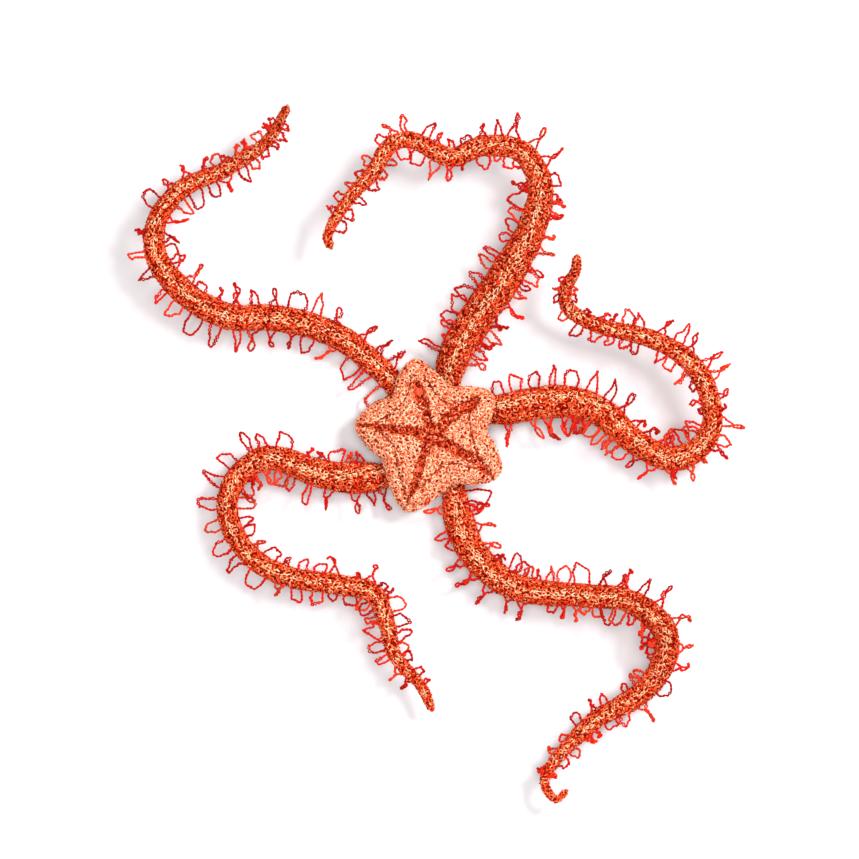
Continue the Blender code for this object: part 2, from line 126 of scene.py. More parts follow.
# %% [markdown]
# Embroidery thread is two strands of rayon twisted together, which is why it glints a little. Its
# colour changes from stitch to stitch, so each stitch carries its own colour on its vertices, and
# the material only reads it. Colours are chosen as the hex values of a paint program, and one
# function turns them into the light values that the shader needs.

# %% Colours and a helper for nodes
# Each palette: its colours and their shares
FLANK_COLOURS = {"FA7848": 0.27, "F06034": 0.25, "E04218": 0.18, "A41402": 0.15, "FFBA8E": 0.15}
BAND_COLOURS = {"FFE4BE": 0.28, "FFCEA0": 0.29, "FFB488": 0.25, "F09060": 0.18}
PAD_COLOURS = {"FFE6C6": 0.27, "FDCCA8": 0.29, "F6B08C": 0.24, "EA8C68": 0.14, "D8582A": 0.06}
STAR_COLOURS = {"E8663A": 0.27, "CA421C": 0.29, "EE8458": 0.15, "92180A": 0.23, "FFB490": 0.06}
LOOP_COLOURS = {"CA1C0E": 0.40, "B61208": 0.35, "D43418": 0.25}
# The stitches down in the holes: lower thread, coloured dark also as painted shade down in the holes
ARM_HOLES = {"860802": 0.38, "AA1404": 0.36, "CC3008": 0.26}
PAD_HOLES = {"E8704A": 0.28, "CC380E": 0.30, "A81804": 0.26, "7C0602": 0.16}
STAR_HOLES = {"7C0602": 0.60, "A01404": 0.40}
# The crease's running stitches: dark red thread, whose darkness is also painted shade of the fold
CREASE_THREAD_AND_SHADE_COLOURS = {"A81204": 0.50, "C02A0A": 0.35, "DC5A34": 0.15}
SPOT_COLOURS = {"FA6646": 0.4, "EA4E30": 0.35, "FF8264": 0.25}
# The felt under the stitches: on the arms it is dyed darker than their thread, which also paints the shade
# in the gaps between stitches; along the creases its colour is painted shade
UNDER_FLANK = "7E0E04"
UNDER_BAND = "9A2C0C"
UNDER_PADS = "DC7044"
UNDER_STAR = "981806"
CREASE_PAINTED_SHADE = "881606"
WHITE_CARD = "DCDADC"
# How much darker or lighter than its palette one stitch may be
THREAD_SHADES = (0.78, 1.1)


def linear(hex_colour):
    """A colour of a paint program as linear light, with full opacity."""
    parts = [int(hex_colour[k : k + 2], 16) / 255 for k in (0, 2, 4)]
    light = [c / 12.92 if c <= 0.04045 else ((c + 0.055) / 1.055) ** 2.4 for c in parts]
    return (*light, 1.0)


def drawn_colours(palette, count, draw):
    """For each of many stitches a colour of the palette, by its share, a little lighter or darker."""
    listed = np.array([linear(name) for name in palette])
    shares = np.array(list(palette.values()))
    chosen = listed[draw.choice(len(listed), count, p=shares / shares.sum())]
    chosen[:, :3] *= draw.uniform(*THREAD_SHADES, (count, 1))
    return np.clip(chosen, 0.0, 1.0)


def add_node(tree, kind, settings=None, values=None, links=None):
    """Adds a shader node, sets its properties and its input values, and links outputs to its inputs."""
    node = tree.nodes.new("ShaderNode" + kind)
    for name, value in (settings or {}).items():
        setattr(node, name, value)
    for name, value in (values or {}).items():
        node.inputs[name].default_value = value
    for name, output in (links or {}).items():
        tree.links.new(output, node.inputs[name])
    return node


print("flank colours as light", [[round(v, 2) for v in linear(name)] for name in FLANK_COLOURS])

# %% [markdown]
# The thread's two strands show as slanting lines, half a millimetre apart. Each stitch carries an
# attribute named lay that says how far along it and how far round it a point is, and a sine of the
# two draws the slanting lines as a shallow bump. The loops have real strands, so theirs need only
# the fine hairs of the yarn, which are drawn coarser than they are, so that they show at all.

# %% The thread's materials
STRAND_PITCH = 0.5
STRAND_DEPTH = 0.03
HAIR_SIZE = 0.12
HAIR_DETAIL = 2.0
HAIR_HEIGHT = 0.5
BUMP_STRENGTH = 0.5
THREAD_IOR = 1.47
TUFT_SIZE = 0.4
TUFT_DEPTH = 0.12
# The tints of the felt, each with the value of the noise that it belongs to
FELT_TINTS = ((0.42, (0.5, 0.18, 0.12, 1.0)), (0.6, (1.0, 1.15, 1.2, 1.0)))


def plain_material(name, roughness):
    """A new material with its roughness set, its node tree and its shader."""
    material = bpy.data.materials.new(name)
    material.use_nodes = True
    shader = material.node_tree.nodes["Principled BSDF"]
    shader.inputs["Roughness"].default_value = roughness
    return material, material.node_tree, shader


def thread_material(name, roughness, shine, has_lay):
    """Spun and twisted thread, glossy as rayon or as mercerised cotton: soft highlights along each
    strand, and dull where hairs stand out."""
    material, tree, shader = plain_material(name, roughness)
    shader.inputs["IOR"].default_value = THREAD_IOR
    shader.inputs["Specular IOR Level"].default_value = shine
    colour = add_node(tree, "Attribute", {"attribute_name": "thread_colour"})
    tree.links.new(colour.outputs["Color"], shader.inputs["Base Color"])
    place = add_node(tree, "TexCoord").outputs["Object"]
    fineness = {"Scale": 1 / (HAIR_SIZE * MM), "Detail": HAIR_DETAIL}
    hairs = add_node(tree, "TexNoise", values=fineness, links={"Vector": place}).outputs["Fac"]
    height = hairs
    if has_lay:
        lay = add_node(tree, "Attribute", {"attribute_name": "lay"}).outputs["Vector"]
        parts = add_node(tree, "SeparateXYZ", links={"Vector": lay}).outputs
        add, times, sine = ({"operation": kind} for kind in ("MULTIPLY_ADD", "MULTIPLY", "SINE"))
        slant = add_node(tree, "Math", add, {1: 1 / STRAND_PITCH}, {0: parts["X"], 2: parts["Y"]})
        turned = add_node(tree, "Math", times, {1: math.tau}, {0: slant.outputs[0]})
        strands = add_node(tree, "Math", sine, links={0: turned.outputs[0]}).outputs[0]
        height = add_node(tree, "Math", add, {1: HAIR_HEIGHT}, {0: hairs, 2: strands}).outputs[0]
    depth = {"Strength": BUMP_STRENGTH, "Distance": STRAND_DEPTH * MM}
    bump = add_node(tree, "Bump", values=depth, links={"Height": height})
    tree.links.new(bump.outputs["Normal"], shader.inputs["Normal"])
    return material


def felt_material():
    """The felted layer under the stitches, seen only in the gaps between them: rough, and as
    uneven in colour as the ends of thread that are caught in it. On the arms its dark dye also paints
    the shade in the gaps."""
    material = thread_material("dyed_felt_and_painted_gap_shade", 0.9, 0.0, False)
    tree = material.node_tree
    tree.nodes["Bump"].inputs["Distance"].default_value = TUFT_DEPTH * MM
    tufts = tree.nodes["Noise Texture"]
    tufts.inputs["Scale"].default_value = 1 / (TUFT_SIZE * MM)
    dye = add_node(tree, "ValToRGB", links={"Fac": tufts.outputs["Fac"]})
    for stop, (place, tint) in zip(dye.color_ramp.elements, FELT_TINTS):
        stop.position = place
        stop.color = tint
    factors = {0: tree.nodes["Attribute"].outputs["Color"], 1: dye.outputs["Color"]}
    tinted = add_node(tree, "VectorMath", {"operation": "MULTIPLY"}, links=factors)
    tree.links.new(tinted.outputs[0], tree.nodes["Principled BSDF"].inputs["Base Color"])
    return material


STITCH_THREAD = thread_material("rayon_stitch_thread", 0.5, 0.04, True)
LOOP_THREAD = thread_material("twisted_red_cotton", 0.6, 0.05, False)
FELT = felt_material()
print("materials", [material.name for material in bpy.data.materials])

# %% [markdown]
# The card is smooth white board with a faint tooth. It is made as one grid, and it is not part of
# the piece.

# %% The white card
CARD_WIDTH = 3000.0
TOOTH_SIZE = 0.8
TOOTH_DEPTH = 0.02
TOOTH_STRENGTH = 0.1


def object_from(builder, name, material):
    """Turns a bmesh in millimetres into an object in metres, shaded smooth."""
    bmesh.ops.scale(builder, vec=(MM, MM, MM), verts=builder.verts)
    mesh = bpy.data.meshes.new(name)
    builder.to_mesh(mesh)
    builder.free()
    mesh.materials.append(material)
    mesh.shade_smooth()
    return put_in_scene(name, mesh)


card_material, card_tree, card_shader = plain_material("white_card", 0.85)
card_shader.inputs["Base Color"].default_value = linear(WHITE_CARD)
card_place = add_node(card_tree, "TexCoord").outputs["Object"]
tooth_scale = {"Scale": 1 / (TOOTH_SIZE * MM)}
tooth = add_node(card_tree, "TexNoise", values=tooth_scale, links={"Vector": card_place})
tooth_depth = {"Strength": TOOTH_STRENGTH, "Distance": TOOTH_DEPTH * MM}
card_bump = add_node(card_tree, "Bump", values=tooth_depth, links={"Height": tooth.outputs["Fac"]})
card_tree.links.new(card_bump.outputs["Normal"], card_shader.inputs["Normal"])

card_builder = bmesh.new()
bmesh.ops.create_grid(card_builder, x_segments=1, y_segments=1, size=CARD_WIDTH / 2)
card = object_from(card_builder, "card", card_material)
print("card", CARD_WIDTH, "mm wide")

# %% [markdown]
# The arms follow the same routes as the solids: a few points listed along each arm, and one
# smooth curve through them.

# %% The arms' routes
UNDER_PAD_RADIUS = 5.2
GAP = 0.3
ARM_ROOT_RADIUS = 2.0
ROUTE_STEP = 0.25
AIM_REACH = 0.5
# Each arm: the bearing at which it leaves the pad underneath, and its points, as x, y, the height
# of the arm's axis and its radius
ARMS = {
    "arm_upper_left": (125.0, (
        (-7.9, 11.3, 2.7, 2.7), (-14.0, 17.5, 2.9, 2.9), (-22.4, 23.4, 5.0, 3.0), (-34.5, 27.0, 6.6, 3.1),
        (-47.0, 27.6, 7.4, 3.1), (-56.6, 32.9, 8.2, 3.0), (-62.9, 40.8, 9.4, 2.7),
        (-63.0, 49.0, 10.5, 2.4), (-57.3, 56.6, 11.0, 2.2), (-47.0, 61.3, 11.0, 1.9),
        (-37.6, 67.6, 11.4, 1.5), (-32.8, 75.7, 12.8, 1.1),
    )),
    "arm_upper": (70.0, (
        (4.0, 11.4, 2.7, 2.7), (4.8, 17.0, 3.7, 3.7), (8.9, 24.8, 4.4, 4.1), (17.4, 37.2, 6.8, 4.1),
        (23.4, 48.3, 9.0, 3.4), (25.0, 58.0, 10.2, 3.0), (20.6, 65.3, 11.0, 2.6), (12.2, 66.6, 11.6, 2.5),
        (4.4, 64.0, 11.6, 2.3), (-4.8, 68.0, 11.5, 2.0), (-9.8, 66.2, 11.5, 2.0), (-13.0, 61.0, 11.4, 1.9),
        (-19.8, 53.2, 11.0, 1.5), (-23.7, 46.2, 10.0, 1.2), (-22.8, 43.0, 9.4, 1.1),
    )),
    "arm_right": (23.5, (
        (11.6, 5.4, 2.9, 2.9), (18.5, 6.4, 3.8, 3.8), (28.5, 8.0, 4.3, 3.9), (38.2, 6.1, 5.2, 3.5),
        (46.8, -1.2, 6.0, 3.0), (55.0, -5.2, 6.6, 3.0), (62.2, -2.2, 8.4, 2.7), (64.6, 5.6, 10.8, 2.4),
        (60.5, 15.8, 11.0, 2.4), (51.4, 22.0, 10.2, 2.2), (39.0, 25.2, 9.4, 1.9), (31.9, 28.9, 9.6, 1.7),
        (30.8, 33.6, 11.6, 1.6), (33.0, 37.6, 13.6, 1.35), (33.5, 41.4, 14.8, 1.1),
    )),
    "arm_lower_right": (297.0, (
        (5.2, -12.0, 2.8, 2.8), (6.6, -20.2, 3.6, 3.6), (11.0, -28.6, 4.4, 3.4), (20.0, -35.0, 5.6, 3.2),
        (33.0, -36.6, 6.8, 2.8), (44.4, -37.6, 7.8, 2.8), (52.6, -43.0, 8.2, 3.0), (54.0, -50.2, 8.0, 3.0),
        (48.6, -58.9, 7.2, 2.7), (37.8, -65.4, 6.4, 2.2), (29.4, -73.7, 6.0, 1.6), (26.1, -79.4, 6.2, 1.2),
        (28.6, -83.6, 6.8, 1.0), (31.3, -81.4, 7.2, 0.9),
    )),
    "arm_lower_left": (219.0, (
        (-9.8, -8.7, 2.9, 2.9), (-16.5, -9.6, 3.8, 3.8), (-25.0, -8.8, 4.6, 3.4), (-36.8, -5.0, 5.6, 2.9),
        (-43.8, -8.6, 5.8, 2.7), (-47.0, -16.0, 5.8, 2.5), (-43.4, -25.6, 6.4, 2.5),
        (-34.4, -31.9, 6.6, 2.5), (-22.0, -34.1, 6.4, 2.5), (-13.6, -36.0, 6.1, 2.4),
        (-10.2, -43.0, 6.0, 2.1), (-8.4, -50.4, 6.0, 1.7), (-2.4, -57.4, 5.8, 1.4), (0.4, -63.3, 5.6, 1.1),
    )),
}


def unit(vectors):
    return vectors / np.linalg.norm(vectors, axis=-1, keepdims=True)


def flat_on(facing, vectors):
    """Directions turned into the surface that the facing directions stand on."""
    return unit(vectors - facing * np.sum(vectors * facing, axis=1, keepdims=True))


def smooth_blend(t):
    return 3 * t**2 - 2 * t**3


def blend_between(values, low, high):
    """0 below low, 1 above high, and smooth between them."""
    return smooth_blend(np.clip((values - low) / (high - low), 0.0, 1.0))


def curve_between(start, end, leaving, arriving, t):
    """A smooth line from start to end, by the directions in which it leaves and arrives."""
    line = start + (end - start) * smooth_blend(t) + leaving * (t**3 - 2 * t**2 + t)
    return line + arriving * (t**3 - t**2)


def run_lengths(line):
    """How far along a line each of its points is."""
    return np.concatenate([[0.0], np.cumsum(np.linalg.norm(np.diff(line, axis=0), axis=1))])


class Route:
    """A smooth line through an arm's points, measured along its length, with its radius."""

    def __init__(self, bearing, listed):
        turn = math.radians(bearing)
        out = np.array((math.cos(turn), math.sin(turn), 0.0))
        first = (*(out[:2] * (UNDER_PAD_RADIUS + GAP)), ARM_ROOT_RADIUS, ARM_ROOT_RADIUS)
        marks = np.array([first, *listed])
        places = marks[:, :3]
        behind = places[1] - out * 2 * np.linalg.norm(places[1] - places[0])
        padded = np.vstack([behind, places, 2 * places[-1] - places[-2]])
        points = [places[:1]]
        radii = [marks[:1, 3]]
        for k in range(len(places) - 1):
            before, start, end, after = padded[k : k + 4]
            steps = max(2, round(np.linalg.norm(end - start) / ROUTE_STEP))
            t = (np.arange(1, steps + 1) / steps)[:, None]
            points.append(curve_between(start, end, (end - before) / 2, (after - start) / 2, t))
            radii.append(marks[k, 3] + (marks[k + 1, 3] - marks[k, 3]) * smooth_blend(t[:, 0]))
        self.points = np.vstack(points)
        self.radii = np.concatenate(radii)
        self.lengths = run_lengths(self.points)
        self.length = self.lengths[-1]

    def at(self, distances):
        """The points and the radii at distances along the route."""
        axes = [np.interp(distances, self.lengths, self.points[:, k]) for k in range(3)]
        return np.stack(axes, axis=-1), np.interp(distances, self.lengths, self.radii)

    def directions(self, distances):
        """Unit vectors along the arm, to its right and up from it."""
        along = unit(self.at(distances + AIM_REACH)[0] - self.at(distances - AIM_REACH)[0])
        right = unit(np.cross(along, UP))
        return along, right, np.cross(right, along)


routes = {name: Route(*described) for name, described in ARMS.items()}
print("arm lengths in mm", {name: round(float(route.length), 1) for name, route in routes.items()})

# %% [markdown]
# Along each arm's back runs a pale band, about a quarter of the arm's width, which gives out before
# the tip. On two arms it runs off to one side near the disc. One function says how much a place
# belongs to the band, and both the layer underneath and the stitches ask it.

# %% Where the pale band lies
# Widths are shares of the arm's radius
BAND_HALF_WIDTH = 0.25
BAND_EDGE = 0.07
# The waves of the band's edges: their height, their number along the arm and their start
BAND_WAVES = ((0.07, 1.1, 0.0), (0.05, 2.9, 1.0))
BACK_EDGE = 0.3
# Where the band pales, down to what share of itself, and where it stops, all from the tip
BAND_PALES_FROM = 17.0
BAND_PALE_FROM = 5.0
BAND_REST = 0.25
BAND_STOPS = 4.0
# How far aside the band runs, up to what distance, and the distance at which it is back
BAND_SHIFTS = {"arm_right": (-0.36, 34.0, 62.0), "arm_lower_left": (0.34, 10.0, 26.0)}
NO_SHIFT = (0.0, 0.0, 1.0)


def band_share(name, route, distances, turns):
    """1 in the middle of the pale band, 0 off it."""
    shift, kept_until, gone_at = BAND_SHIFTS.get(name, NO_SHIFT)
    off = np.abs(np.sin(turns) - shift * (1 - blend_between(distances, kept_until, gone_at)))
    half = BAND_HALF_WIDTH
    for height, waves, start in BAND_WAVES:
        half = half + height * np.sin(waves * distances + start)
    share = 1 - blend_between(off, half - BAND_EDGE, half + BAND_EDGE)
    tip = route.length
    full = 1 - blend_between(distances, tip - BAND_PALES_FROM, tip - BAND_PALE_FROM)
    share = share * blend_between(np.cos(turns), 0.0, BACK_EDGE)
    return share * (BAND_REST + (1 - BAND_REST) * full) * (distances < tip - BAND_STOPS)


print("band", round(BAND_HALF_WIDTH * 2 * routes["arm_right"].radii.max(), 2), "mm wide at the most")

# %% [markdown]
# Under the stitches of an arm lies a soft roll. It starts as a straight tube, a cylinder cut into
# rings, and each point of it is then laid along the route, which is quicker than extruding ring
# after ring. The roll is a little lumpy, its end is rounded, and it is pressed flat where it lies
# on the card.

# %% The soft rolls of the arms
ROLL_SIDES = 24
ROLL_STEP = 0.9
STITCH_DEPTH = 0.3
# The roll's lumps: waves along the arm and round it, their start and their height
LUMPS = ((0.55, 1, 0.4, 0.020), (0.9, 2, 1.9, 0.016), (1.7, 3, 4.1, 0.012))
TIP_FACING = 0.98
END_SLACK = 1e-5
LENGTH_NAMES = ("root", "near", "middle", "far", "tip")


def on_arm(route, distances, turns, inset):
    """Points on an arm's surface and the directions out of it. A turn is 0 on the arm's back and
    grows towards its right side."""
    centre, radius = route.at(distances)
    along, right, up = route.directions(distances)
    lumpy = 1.0
    for waves, round_arm, start, height in LUMPS:
        lumpy = lumpy + height * np.sin(waves * distances + round_arm * turns + start)
    into_tip = np.clip((distances - (route.length - radius)) / radius, 0.0, 1.0)
    roundness = np.sqrt(1 - into_tip**2)
    kept = np.maximum(radius * lumpy * roundness - inset, 0.0)
    out = right * np.sin(turns)[:, None] + up * np.cos(turns)[:, None]
    places = centre + out * kept[:, None]
    facing = unit(out * roundness[:, None] + along * into_tip[:, None] * TIP_FACING)
    places[:, 2] = np.maximum(places[:, 2], FLOOR_CLEARANCE + inset)
    return places, facing


def straight_tube(sides, rings):
    """A closed cylinder of radius 1 along Z from 0 to 1, cut into rings."""
    builder = bmesh.new()
    bmesh.ops.create_cone(builder, cap_ends=True, segments=sides, radius1=1.0, radius2=1.0, depth=1.0)
    bmesh.ops.translate(builder, verts=builder.verts, vec=(0, 0, 0.5))
    long_edges = [e for e in builder.edges if abs(e.verts[0].co.z - e.verts[1].co.z) > 0.5]
    bmesh.ops.subdivide_edges(builder, edges=long_edges, cuts=rings, use_grid_fill=True)
    return builder


def close_end(builder, height):
    """Draws an end of a straight tube together in one point."""
    end = [vertex for vertex in builder.verts if abs(vertex.co.z - height) < END_SLACK]
    bmesh.ops.pointmerge(builder, verts=end, merge_co=(0, 0, height))


def vertex_array(builder):
    return np.array([vertex.co for vertex in builder.verts])


def move_vertices(builder, places):
    for vertex, place in zip(builder.verts, places):
        vertex.co = place
    builder.normal_update()


def face_outwards(builder):
    """Makes the faces of a closed shape agree, and turns them over if they point inwards."""
    bmesh.ops.recalc_face_normals(builder, faces=builder.faces)
    if builder.calc_volume(signed=True) < 0:
        bmesh.ops.reverse_faces(builder, faces=builder.faces)


def colour_vertices(mesh, colours):
    attribute = mesh.color_attributes.new("thread_colour", "FLOAT_COLOR", "POINT")
    attribute.data.foreach_set("color", np.asarray(colours, dtype=np.float32).ravel())


def settle(piece, slot, *nodes):
    """Puts a finished piece on the one body, in place of the solids it stands for. The slot is not used."""
    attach(piece, "root")
    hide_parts(*nodes)
    print(piece.name, len(piece.data.polygons), "faces")


def arm_nodes(name):
    return [f"{name}_{length_name}" for length_name in LENGTH_NAMES]


def mixed(first, second, share):
    """Colours between two, by the second one's share at each point."""
    share = np.asarray(share)[:, None]
    return np.array(first) * (1 - share) + np.array(second) * share


rolls = {}
for name, route in routes.items():
    builder = straight_tube(ROLL_SIDES, round(route.length / ROLL_STEP))
    close_end(builder, 1)
    straight = vertex_array(builder)
    distances = straight[:, 2] * route.length
    turns = np.arctan2(straight[:, 0], straight[:, 1])
    move_vertices(builder, on_arm(route, distances, turns, STITCH_DEPTH)[0])
    face_outwards(builder)
    rolls[name] = object_from(builder, f"{name}_skin", FELT)
    in_band = band_share(name, route, distances, turns)
    # The arm's felt shows in the gaps: dark dye, and painted shade of the gaps
    colour_vertices(rolls[name].data, mixed(linear(UNDER_FLANK), linear(UNDER_BAND), in_band))
    settle(rolls[name], "orange_thread", *arm_nodes(name))

# %% [markdown]
# A stitch is a short arched grain of thread. One is made as a very coarse sphere, and thousands of
# them are then placed, stretched, bowed and coloured with arrays in one joined mesh. As on the
# real piece, the stitches curl round small holes: the holes are spread evenly over the surface,
# and each gets a few stitches round it, long enough to cross those of its neighbours. A machine
# pulls a little of its lower thread up through each hole, and that thread is dark red, so a short
# dark stitch lies down in every hole.
# The dark colour of the stitch in each hole also paints the shade down in the hole.

# %% One stitch
STITCH_PATCH = 0.003
GRAIN_SHOULDERS = 1.3
GRAIN_WIDENING = 1.3
GRAIN_ARCH = 0.3
# Painted shade and painted red bounce light: a stitch's ends and sides go down between its neighbours,
# where only red light reaches them, so they are coloured darker and redder
END_PAINTED_SHADE = (0.9, 0.44, 0.28, 1.0)
SIDE_PAINTED_SHADE = (0.92, 0.48, 0.32, 1.0)

grain = bmesh.new()
bmesh.ops.create_uvsphere(grain, u_segments=3, v_segments=3, radius=0.5)
for axis in "YX":
    bmesh.ops.rotate(grain, verts=grain.verts, matrix=Matrix.Rotation(math.pi / 2, 3, axis))
shoulders = [v for v in grain.verts if abs(v.co.x) < 0.4]
bmesh.ops.scale(grain, verts=shoulders, vec=(GRAIN_SHOULDERS, 1.0, 1.0))
face_outwards(grain)


def template_of(builder):
    """The points and the triangles of a small shape that is going to be copied."""
    bmesh.ops.triangulate(builder, faces=builder.faces)
    builder.verts.index_update()
    points = vertex_array(builder)
    triangles = np.array([[vertex.index for vertex in face.verts] for face in builder.faces])
    builder.free()
    return points, triangles


GRAIN_POINTS, GRAIN_FACES = template_of(grain)
# Painted shade on each stitch: its lower sides and its ends are coloured darker and redder
GRAIN_PAINTED_SHADE = np.where(GRAIN_POINTS[:, 2:] < -0.1, SIDE_PAINTED_SHADE, 1.0)
GRAIN_PAINTED_SHADE = np.where(np.abs(GRAIN_POINTS[:, :1]) > 0.45, END_PAINTED_SHADE, GRAIN_PAINTED_SHADE)
print("one stitch has", len(GRAIN_POINTS), "points and", len(GRAIN_FACES), "triangles")


# %% Many copies in one mesh
def joined_mesh(name, template_faces, points, colours, unwrapped, lay, material):
    """Makes one mesh of many copies of a template. The points, the colours, the place on the
    unwrap and the lay are given for each copy and each point of it."""
    copies, each = points.shape[:2]
    faces = (template_faces[None] + each * np.arange(copies)[:, None, None]).ravel()
    mesh = bpy.data.meshes.new(name)
    mesh.vertices.add(copies * each)
    mesh.vertices.foreach_set("co", (points * MM).astype(np.float32).ravel())
    mesh.loops.add(faces.size)
    mesh.loops.foreach_set("vertex_index", faces.astype(np.int32))
    mesh.polygons.add(faces.size // 3)
    mesh.polygons.foreach_set("loop_start", np.arange(0, faces.size, 3, dtype=np.int32))
    mesh.update(calc_edges=True)
    mesh.shade_smooth()
    colour_vertices(mesh, colours)
    baked = mesh.uv_layers.new(name="OFBake")
    baked.data.foreach_set("uv", unwrapped.reshape(-1, 2)[faces].astype(np.float32).ravel())
    attribute = mesh.attributes.new("lay", "FLOAT_VECTOR", "POINT")
    attribute.data.foreach_set("vector", lay.astype(np.float32).ravel())
    mesh.materials.append(material)
    return put_in_scene(name, mesh)


def grains(name, middles, facing, heading, length, width, colours, unwrap, bow=0, lift=0, arch=GRAIN_ARCH):
    """Lays one grain of thread at each middle, and joins them in one mesh."""
    across = np.cross(facing, heading)
    share = GRAIN_POINTS[:, 0] * 2
    along = length[:, None] * GRAIN_POINTS[:, 0]
    beside = width[:, None] * GRAIN_POINTS[:, 1] * GRAIN_WIDENING + np.reshape(bow, (-1, 1)) * share**2
    above = width[:, None] * GRAIN_POINTS[:, 2] + np.reshape(lift, (-1, 1)) - arch * share**2
    points = middles[:, None] + heading[:, None] * along[..., None]
    points = points + across[:, None] * beside[..., None] + facing[:, None] * above[..., None]
    points[..., 2] = np.maximum(points[..., 2], FLOOR_CLEARANCE)
    unwrapped = unwrap[:, None] + GRAIN_POINTS[:, :2] * STITCH_PATCH
    round_thread = np.arctan2(GRAIN_POINTS[:, 1], -GRAIN_POINTS[:, 2]) / math.tau
    lay = np.stack([along, np.broadcast_to(round_thread, along.shape), np.zeros_like(along)], -1)
    # Painted shade: each stitch's colour is darkened and reddened at its ends and lower sides
    tinted = colours[:, None] * GRAIN_PAINTED_SHADE
    return joined_mesh(name, GRAIN_FACES, points, tinted, unwrapped, lay, STITCH_THREAD)


print("a stitch comes down", GRAIN_ARCH, "mm from its middle to its ends")

# %% [markdown]
# To sew a skin, places for the holes are drawn at random and those too close to an earlier one are
# dropped. Round each hole the stitches stand like petals, each turned a little, and each is then
# laid on the nearest part of the skin, so that it follows the skin also where that curves away.

# %% Sewing stitches on a skin
STITCH_HEIGHT = 0.14
# Stitches at a hole, then from and to: distance from the hole, length and width in millimetres
ARM_SEWING = (5, (0.34, 0.6), (0.65, 1.1), (0.32, 0.46))
DISC_SEWING = (8, (0.38, 0.68), (0.6, 1.15), (0.32, 0.46))
BOWS = (-0.05, 0.22)
LIFTS = (-0.12, 0.15)
# The same for the stitch down in a hole, and how much larger or smaller a hole may be
HOLE_LENGTH = (0.4, 0.85)
HOLE_WIDTH = (0.3, 0.5)
HOLE_LIFT = 0.12
HOLE_SIZES = (0.5, 1.3)
# How unevenly the stitches stand round a hole and how far they turn from it, both in radians
PLACE_SCATTER = 0.4
TURN_SCATTER = 0.6
# How a stretched ring turns its stitches lengthwise and lengthens them
STRETCH_TURNING = 4
STRETCH_LENGTHENING = 0.6


def spread(places, spacing):
    """Picks places one after another, each at least the spacing from those picked before."""
    tree = KDTree(len(places))
    for n, place in enumerate(places):
        tree.insert(place, n)
    tree.balance()
    free = np.ones(len(places), dtype=bool)
    picked = []
    for n, place in enumerate(places):
        if free[n]:
            picked.append(n)
            for _, near, _ in tree.find_range(place, spacing):
                free[near] = False
    return np.array(picked)


def laid_on(skin, places):
    """The nearest places on a skin, and the directions out of it there."""
    corners = [vertex.co / MM for vertex in skin.data.vertices]
    tree = BVHTree.FromPolygons(corners, [polygon.vertices[:] for polygon in skin.data.polygons])
    nearest, facing = zip(*(tree.find_nearest(place)[:2] for place in places))
    return np.array(nearest), np.array(facing)


def stitches(name, skin, holes, facing, lengthwise, colours, unwrap, draw, sewing, stretch=1.0, keep=None):
    """Sews curling stitches round holes, and a short one down in each hole. The stretch draws the
    ring of stitches out lengthwise. Stitches are kept only where the function given says so."""
    at_hole, ring, length, width = sewing
    count = len(holes) * (at_hole + 1)
    owner = np.repeat(np.arange(len(holes)), at_hole + 1)
    order = np.tile(np.arange(at_hole + 1), len(holes))
    in_hole = order == at_hole
    lengthwise = lengthwise[owner]
    sideways = np.cross(facing[owner], lengthwise)
    stretch = np.broadcast_to(stretch, len(holes))[owner]
    turn = math.tau * order / at_hole
    turn = turn + draw.uniform(0, math.tau, len(holes))[owner] + draw.normal(0.0, PLACE_SCATTER, count)
    size = draw.uniform(*HOLE_SIZES, len(holes))[owner]
    ring = np.where(in_hole, 0.0, draw.uniform(*ring, count) * size)
    cosine, sine = np.cos(turn)[:, None], np.sin(turn)[:, None]
    middles = lengthwise * cosine * (ring * stretch)[:, None] + sideways * sine * ring[:, None]
    heading = sideways * cosine - lengthwise * sine * stretch[:, None] ** STRETCH_TURNING
    heading = unit(heading + sideways * draw.normal(0, TURN_SCATTER, count)[:, None])
    middles, facing = laid_on(skin, middles + holes[owner])
    long_ones = draw.uniform(*length, count) * (1 + STRETCH_LENGTHENING * (stretch - 1))
    length = np.where(in_hole, draw.uniform(*HOLE_LENGTH, count) * size, long_ones)
    width = np.where(in_hole, draw.uniform(*HOLE_WIDTH, count) * size, draw.uniform(*width, count))
    bow = np.where(in_hole, 0.0, draw.uniform(*BOWS, count))
    lift = np.where(in_hole, HOLE_LIFT, draw.uniform(*LIFTS, count))
    middles = middles + facing * STITCH_HEIGHT
    kept = np.ones(count, dtype=bool) if keep is None else keep(middles)
    heading = flat_on(facing, heading)
    chosen = (middles, facing, heading, length, width, colours, unwrap[owner], bow, lift)
    return grains(name, *(listed[kept] for listed in chosen))


def stitch_colours(share, some, others, holes, at_hole, draw):
    """Colours for the stitches round each hole, from one palette by the hole's share or from
    another, and after them the colour of the stitch down in the hole."""
    share = np.repeat(share, at_hole)
    chosen = draw.uniform(0, 1, len(share)) < share
    first = drawn_colours(some, len(share), draw)
    round_hole = np.where(chosen[:, None], first, drawn_colours(others, len(share), draw))
    down = drawn_colours(holes, len(share) // at_hole, draw)
    together = np.concatenate([round_hole.reshape(-1, at_hole, 4), down[:, None]], axis=1)
    return together.reshape(-1, 4)


print("stitches at a hole", ARM_SEWING[0], "on the arms and", DISC_SEWING[0], "on the disc")

# %% [markdown]
# The band's stitches are cream and peach and lie lengthwise. The flanks and the underside are
# orange and red.

# %% The stitches of the arms
TRIES_PER_SQUARE_MM = 20.0
HOLE_SPACING = 0.76
BAND_FULLNESS = 0.76
BAND_STRETCH = 1.25
# The part of the bake's map that is used, and its margin
MAP_USED = 0.98
MAP_MARGIN = 0.01
